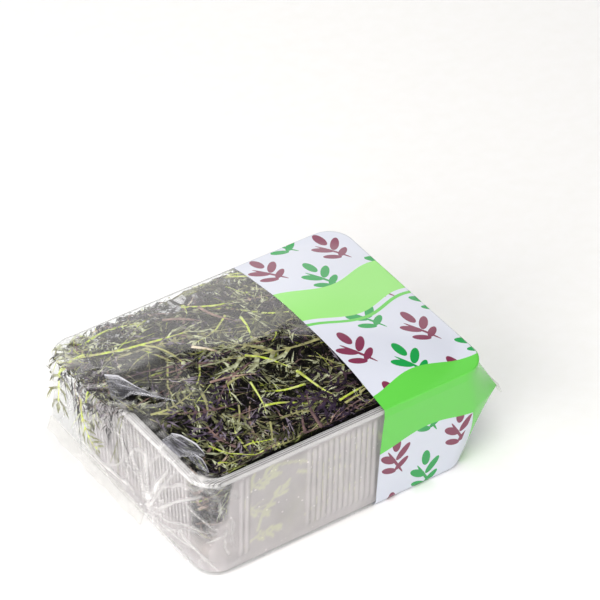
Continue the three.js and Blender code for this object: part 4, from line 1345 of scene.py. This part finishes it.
# Two sheets of clear film melted together: a little milky, in patches.
sealed_film, tree = new_material("bopp_film_crimped")
place = add(tree, "TexCoord")
wear = add(tree, "TexNoise", {}, {"Vector": place.outputs["Object"], "Scale": 70, "Detail": 3})
milk = add(tree, "MapRange", {}, {"Value": wear, 1: 0.35, 2: 0.7, 3: 0.03, 4: 0.14})
through = add(tree, "BsdfTransparent", {}, {"Color": linear("FBFBFA")})
body = add(tree, "BsdfPrincipled", {}, {"Base Color": linear("FAF9F8"), "Roughness": 0.3})
glow = add(tree, "BsdfTranslucent", {}, {"Color": linear("FAF9F8")})
body = add(tree, "MixShader", {}, {"Fac": 0.5, 1: body, 2: glow})
surface = add(tree, "MixShader", {}, {"Fac": milk, 1: through, 2: body})
add(tree, "OutputMaterial", {}, {"Surface": surface})


def seal_rings(side, near, far):
    """Rings along a seal from its near to its far end: down its outer face and up its inner one."""
    rings = []
    for step in range(61):
        y = near + (far - near) * step / 60
        wave = 0.5 * math.sin(0.21 * y) + 0.3 * math.sin(0.47 * y + 1)
        ring = []
        for face, order in ((0, range(25)), (1, range(24, -1, -1))):
            for k in order:
                t = k / 24
                ridge = 0.16 * math.sin(2 * math.pi * SEAL["ridges"] * t)
                x = SEAL["reach"] + SEAL["lean"] * t + ridge + wave * t - SEAL["thick"] * face
                ring.append((side * x, y, SEAL["z"] - SEAL["drop"] * t + 0.4 * ridge))
        rings.append(ring)
    for at in (0, -1):
        middle = sum((Vector(p) for p in rings[at]), Vector()) / len(rings[at])
        rings.insert(0 if at == 0 else len(rings), [tuple(middle)] * len(rings[0]))
    return rings


for name, side, near, far in (("left", -1, -40.8, 56.8), ("right", 1, -62.8, 62.8)):
    seal = shown(f"film_seal_{name}", wrapped(seal_rings(side, near, far), "ribbed"), sealed_film)
    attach(seal, "root")
    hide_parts("film_wrap")

# Spare film at the left end is tucked over in flat pointed folds, with painted highlights along
# their creases. Each is given by its raised crease and the line where it lies on the wrap.
TUCKS = [
    (
        [
            (-90.1, 33.4, 80.2),
            (-85, 26.9, 80.8),
            (-82, 12, 81.1),
            (-77.6, 0.5, 81.2),
            (-70.6, -9.9, 81.6),
        ],
        [
            (-96.3, 16.3, 78.5),
            (-94.6, 10.7, 78.7),
            (-86.4, 10.3, 80.1),
            (-80, 2.9, 80.8),
            (-70.6, -9.9, 81.6),
        ],
    ),
    (
        [(-85.4, -28.8, 79.2), (-82.8, -33.9, 79.4), (-79.8, -45.1, 79.6), (-80.1, -53.5, 79.3)],
        [(-92.7, -29.1, 78), (-92.5, -37.9, 77.8), (-91.5, -45.2, 77.5), (-81, -54.5, 79.1)],
    ),
    (
        [(-84.2, -49.9, 78.8), (-83.6, -56, 78.6), (-84.4, -61, 78.1), (-85.3, -65.4, 77.6)],
        [(-88, -49, 78), (-88.2, -54, 77.8), (-87.6, -60, 77.5), (-85.6, -65.8, 77.5)],
    ),
]
# Clear film laid double: it shines more than one sheet. Its creases are white, partly the whitening of a
# sharp crease and partly a painted highlight, and its white streaks are painted highlights.
folded_film, tree = new_material("bopp_film_folded_double")
place = add(tree, "TexCoord")
facing = add(tree, "LayerWeight", {}, {"Blend": 0.5})
crease = add(tree, "TexNoise", {}, {"Vector": place.outputs["Object"], "Scale": 130, "Detail": 3})
bump = add(tree, "Bump", {}, {"Strength": 0.5, "Distance": 0.001, "Height": crease})
gloss = add(tree, "MapRange", {}, {"Value": facing.outputs["Facing"], 1: 0.3, 2: 1, 3: 0.05, 4: 0.3})
through = add(tree, "BsdfTransparent", {}, {"Color": linear("E4E4E8")})
mirror = add(tree, "BsdfAnisotropic", {}, {"Color": linear("FFFFFF"), "Roughness": 0.2, "Normal": bump})
clear = add(tree, "MixShader", {}, {"Fac": gloss, 1: through, 2: mirror})
across = add(tree, "Attribute", {"attribute_name": "tuck_place"})
along = {0: across.outputs["Vector"], 1: (1.6, 7, 1)}
stretched = add(tree, "VectorMath", {"operation": "MULTIPLY"}, along)
streaks = add(tree, "TexNoise", {}, {"Vector": stretched, "Scale": 1.3, "Detail": 3})
across = add(tree, "SeparateXYZ", {}, {0: across.outputs["Vector"]})
crease_highlight = add(tree, "MapRange", {}, {"Value": across.outputs[1], 1: 0.88, 2: 0.97})
streak_highlight = add(tree, "MapRange", {}, {"Value": streaks, 1: 0.48, 2: 0.74, 3: 0.03, 4: 0.36})
painted_highlight = add(tree, "Math", {"operation": "MAXIMUM"}, {0: crease_highlight, 1: streak_highlight})
highlight_shader = add(tree, "BsdfPrincipled", {}, {"Base Color": linear("E6E6EE"), "Roughness": 0.25})
surface = add(tree, "MixShader", {}, {"Fac": painted_highlight, 1: clear, 2: highlight_shader})
add(tree, "OutputMaterial", {}, {"Surface": surface})


def along_line(points, t):
    place = min(0.9999, max(0, t)) * (len(points) - 1)
    i = int(place)
    return Vector(points[i]).lerp(Vector(points[i + 1]), place - i)


for n, (crease_line, lying_line) in enumerate(TUCKS):
    bm = bmesh.new()
    marks = bm.verts.layers.float_vector.new("tuck_place")
    bmesh.ops.create_grid(bm, x_segments=24, y_segments=12, size=1)
    for v in bm.verts:
        t, across = (v.co.x + 1) / 2, (v.co.y + 1) / 2
        v[marks] = (t, across, 0)
        low, high = along_line(lying_line, t), along_line(crease_line, t)
        swell = math.sin(math.pi * min(1, across * 0.62)) * math.sin(math.pi * (0.08 + 0.84 * t))
        lift = 0.35 + 1.5 * swell
        v.co = (low.lerp(high, across) + Vector((0, 0, lift))) * MM
    bmesh.ops.recalc_face_normals(bm, faces=bm.faces)
    tuck = shown(f"film_tuck_{n + 1}", bm, folded_film)
    sheet = tuck.modifiers.new("sheet", "SOLIDIFY")
    sheet.thickness = 0.1 * MM
    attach(tuck, "root")
    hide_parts("film_wrap")
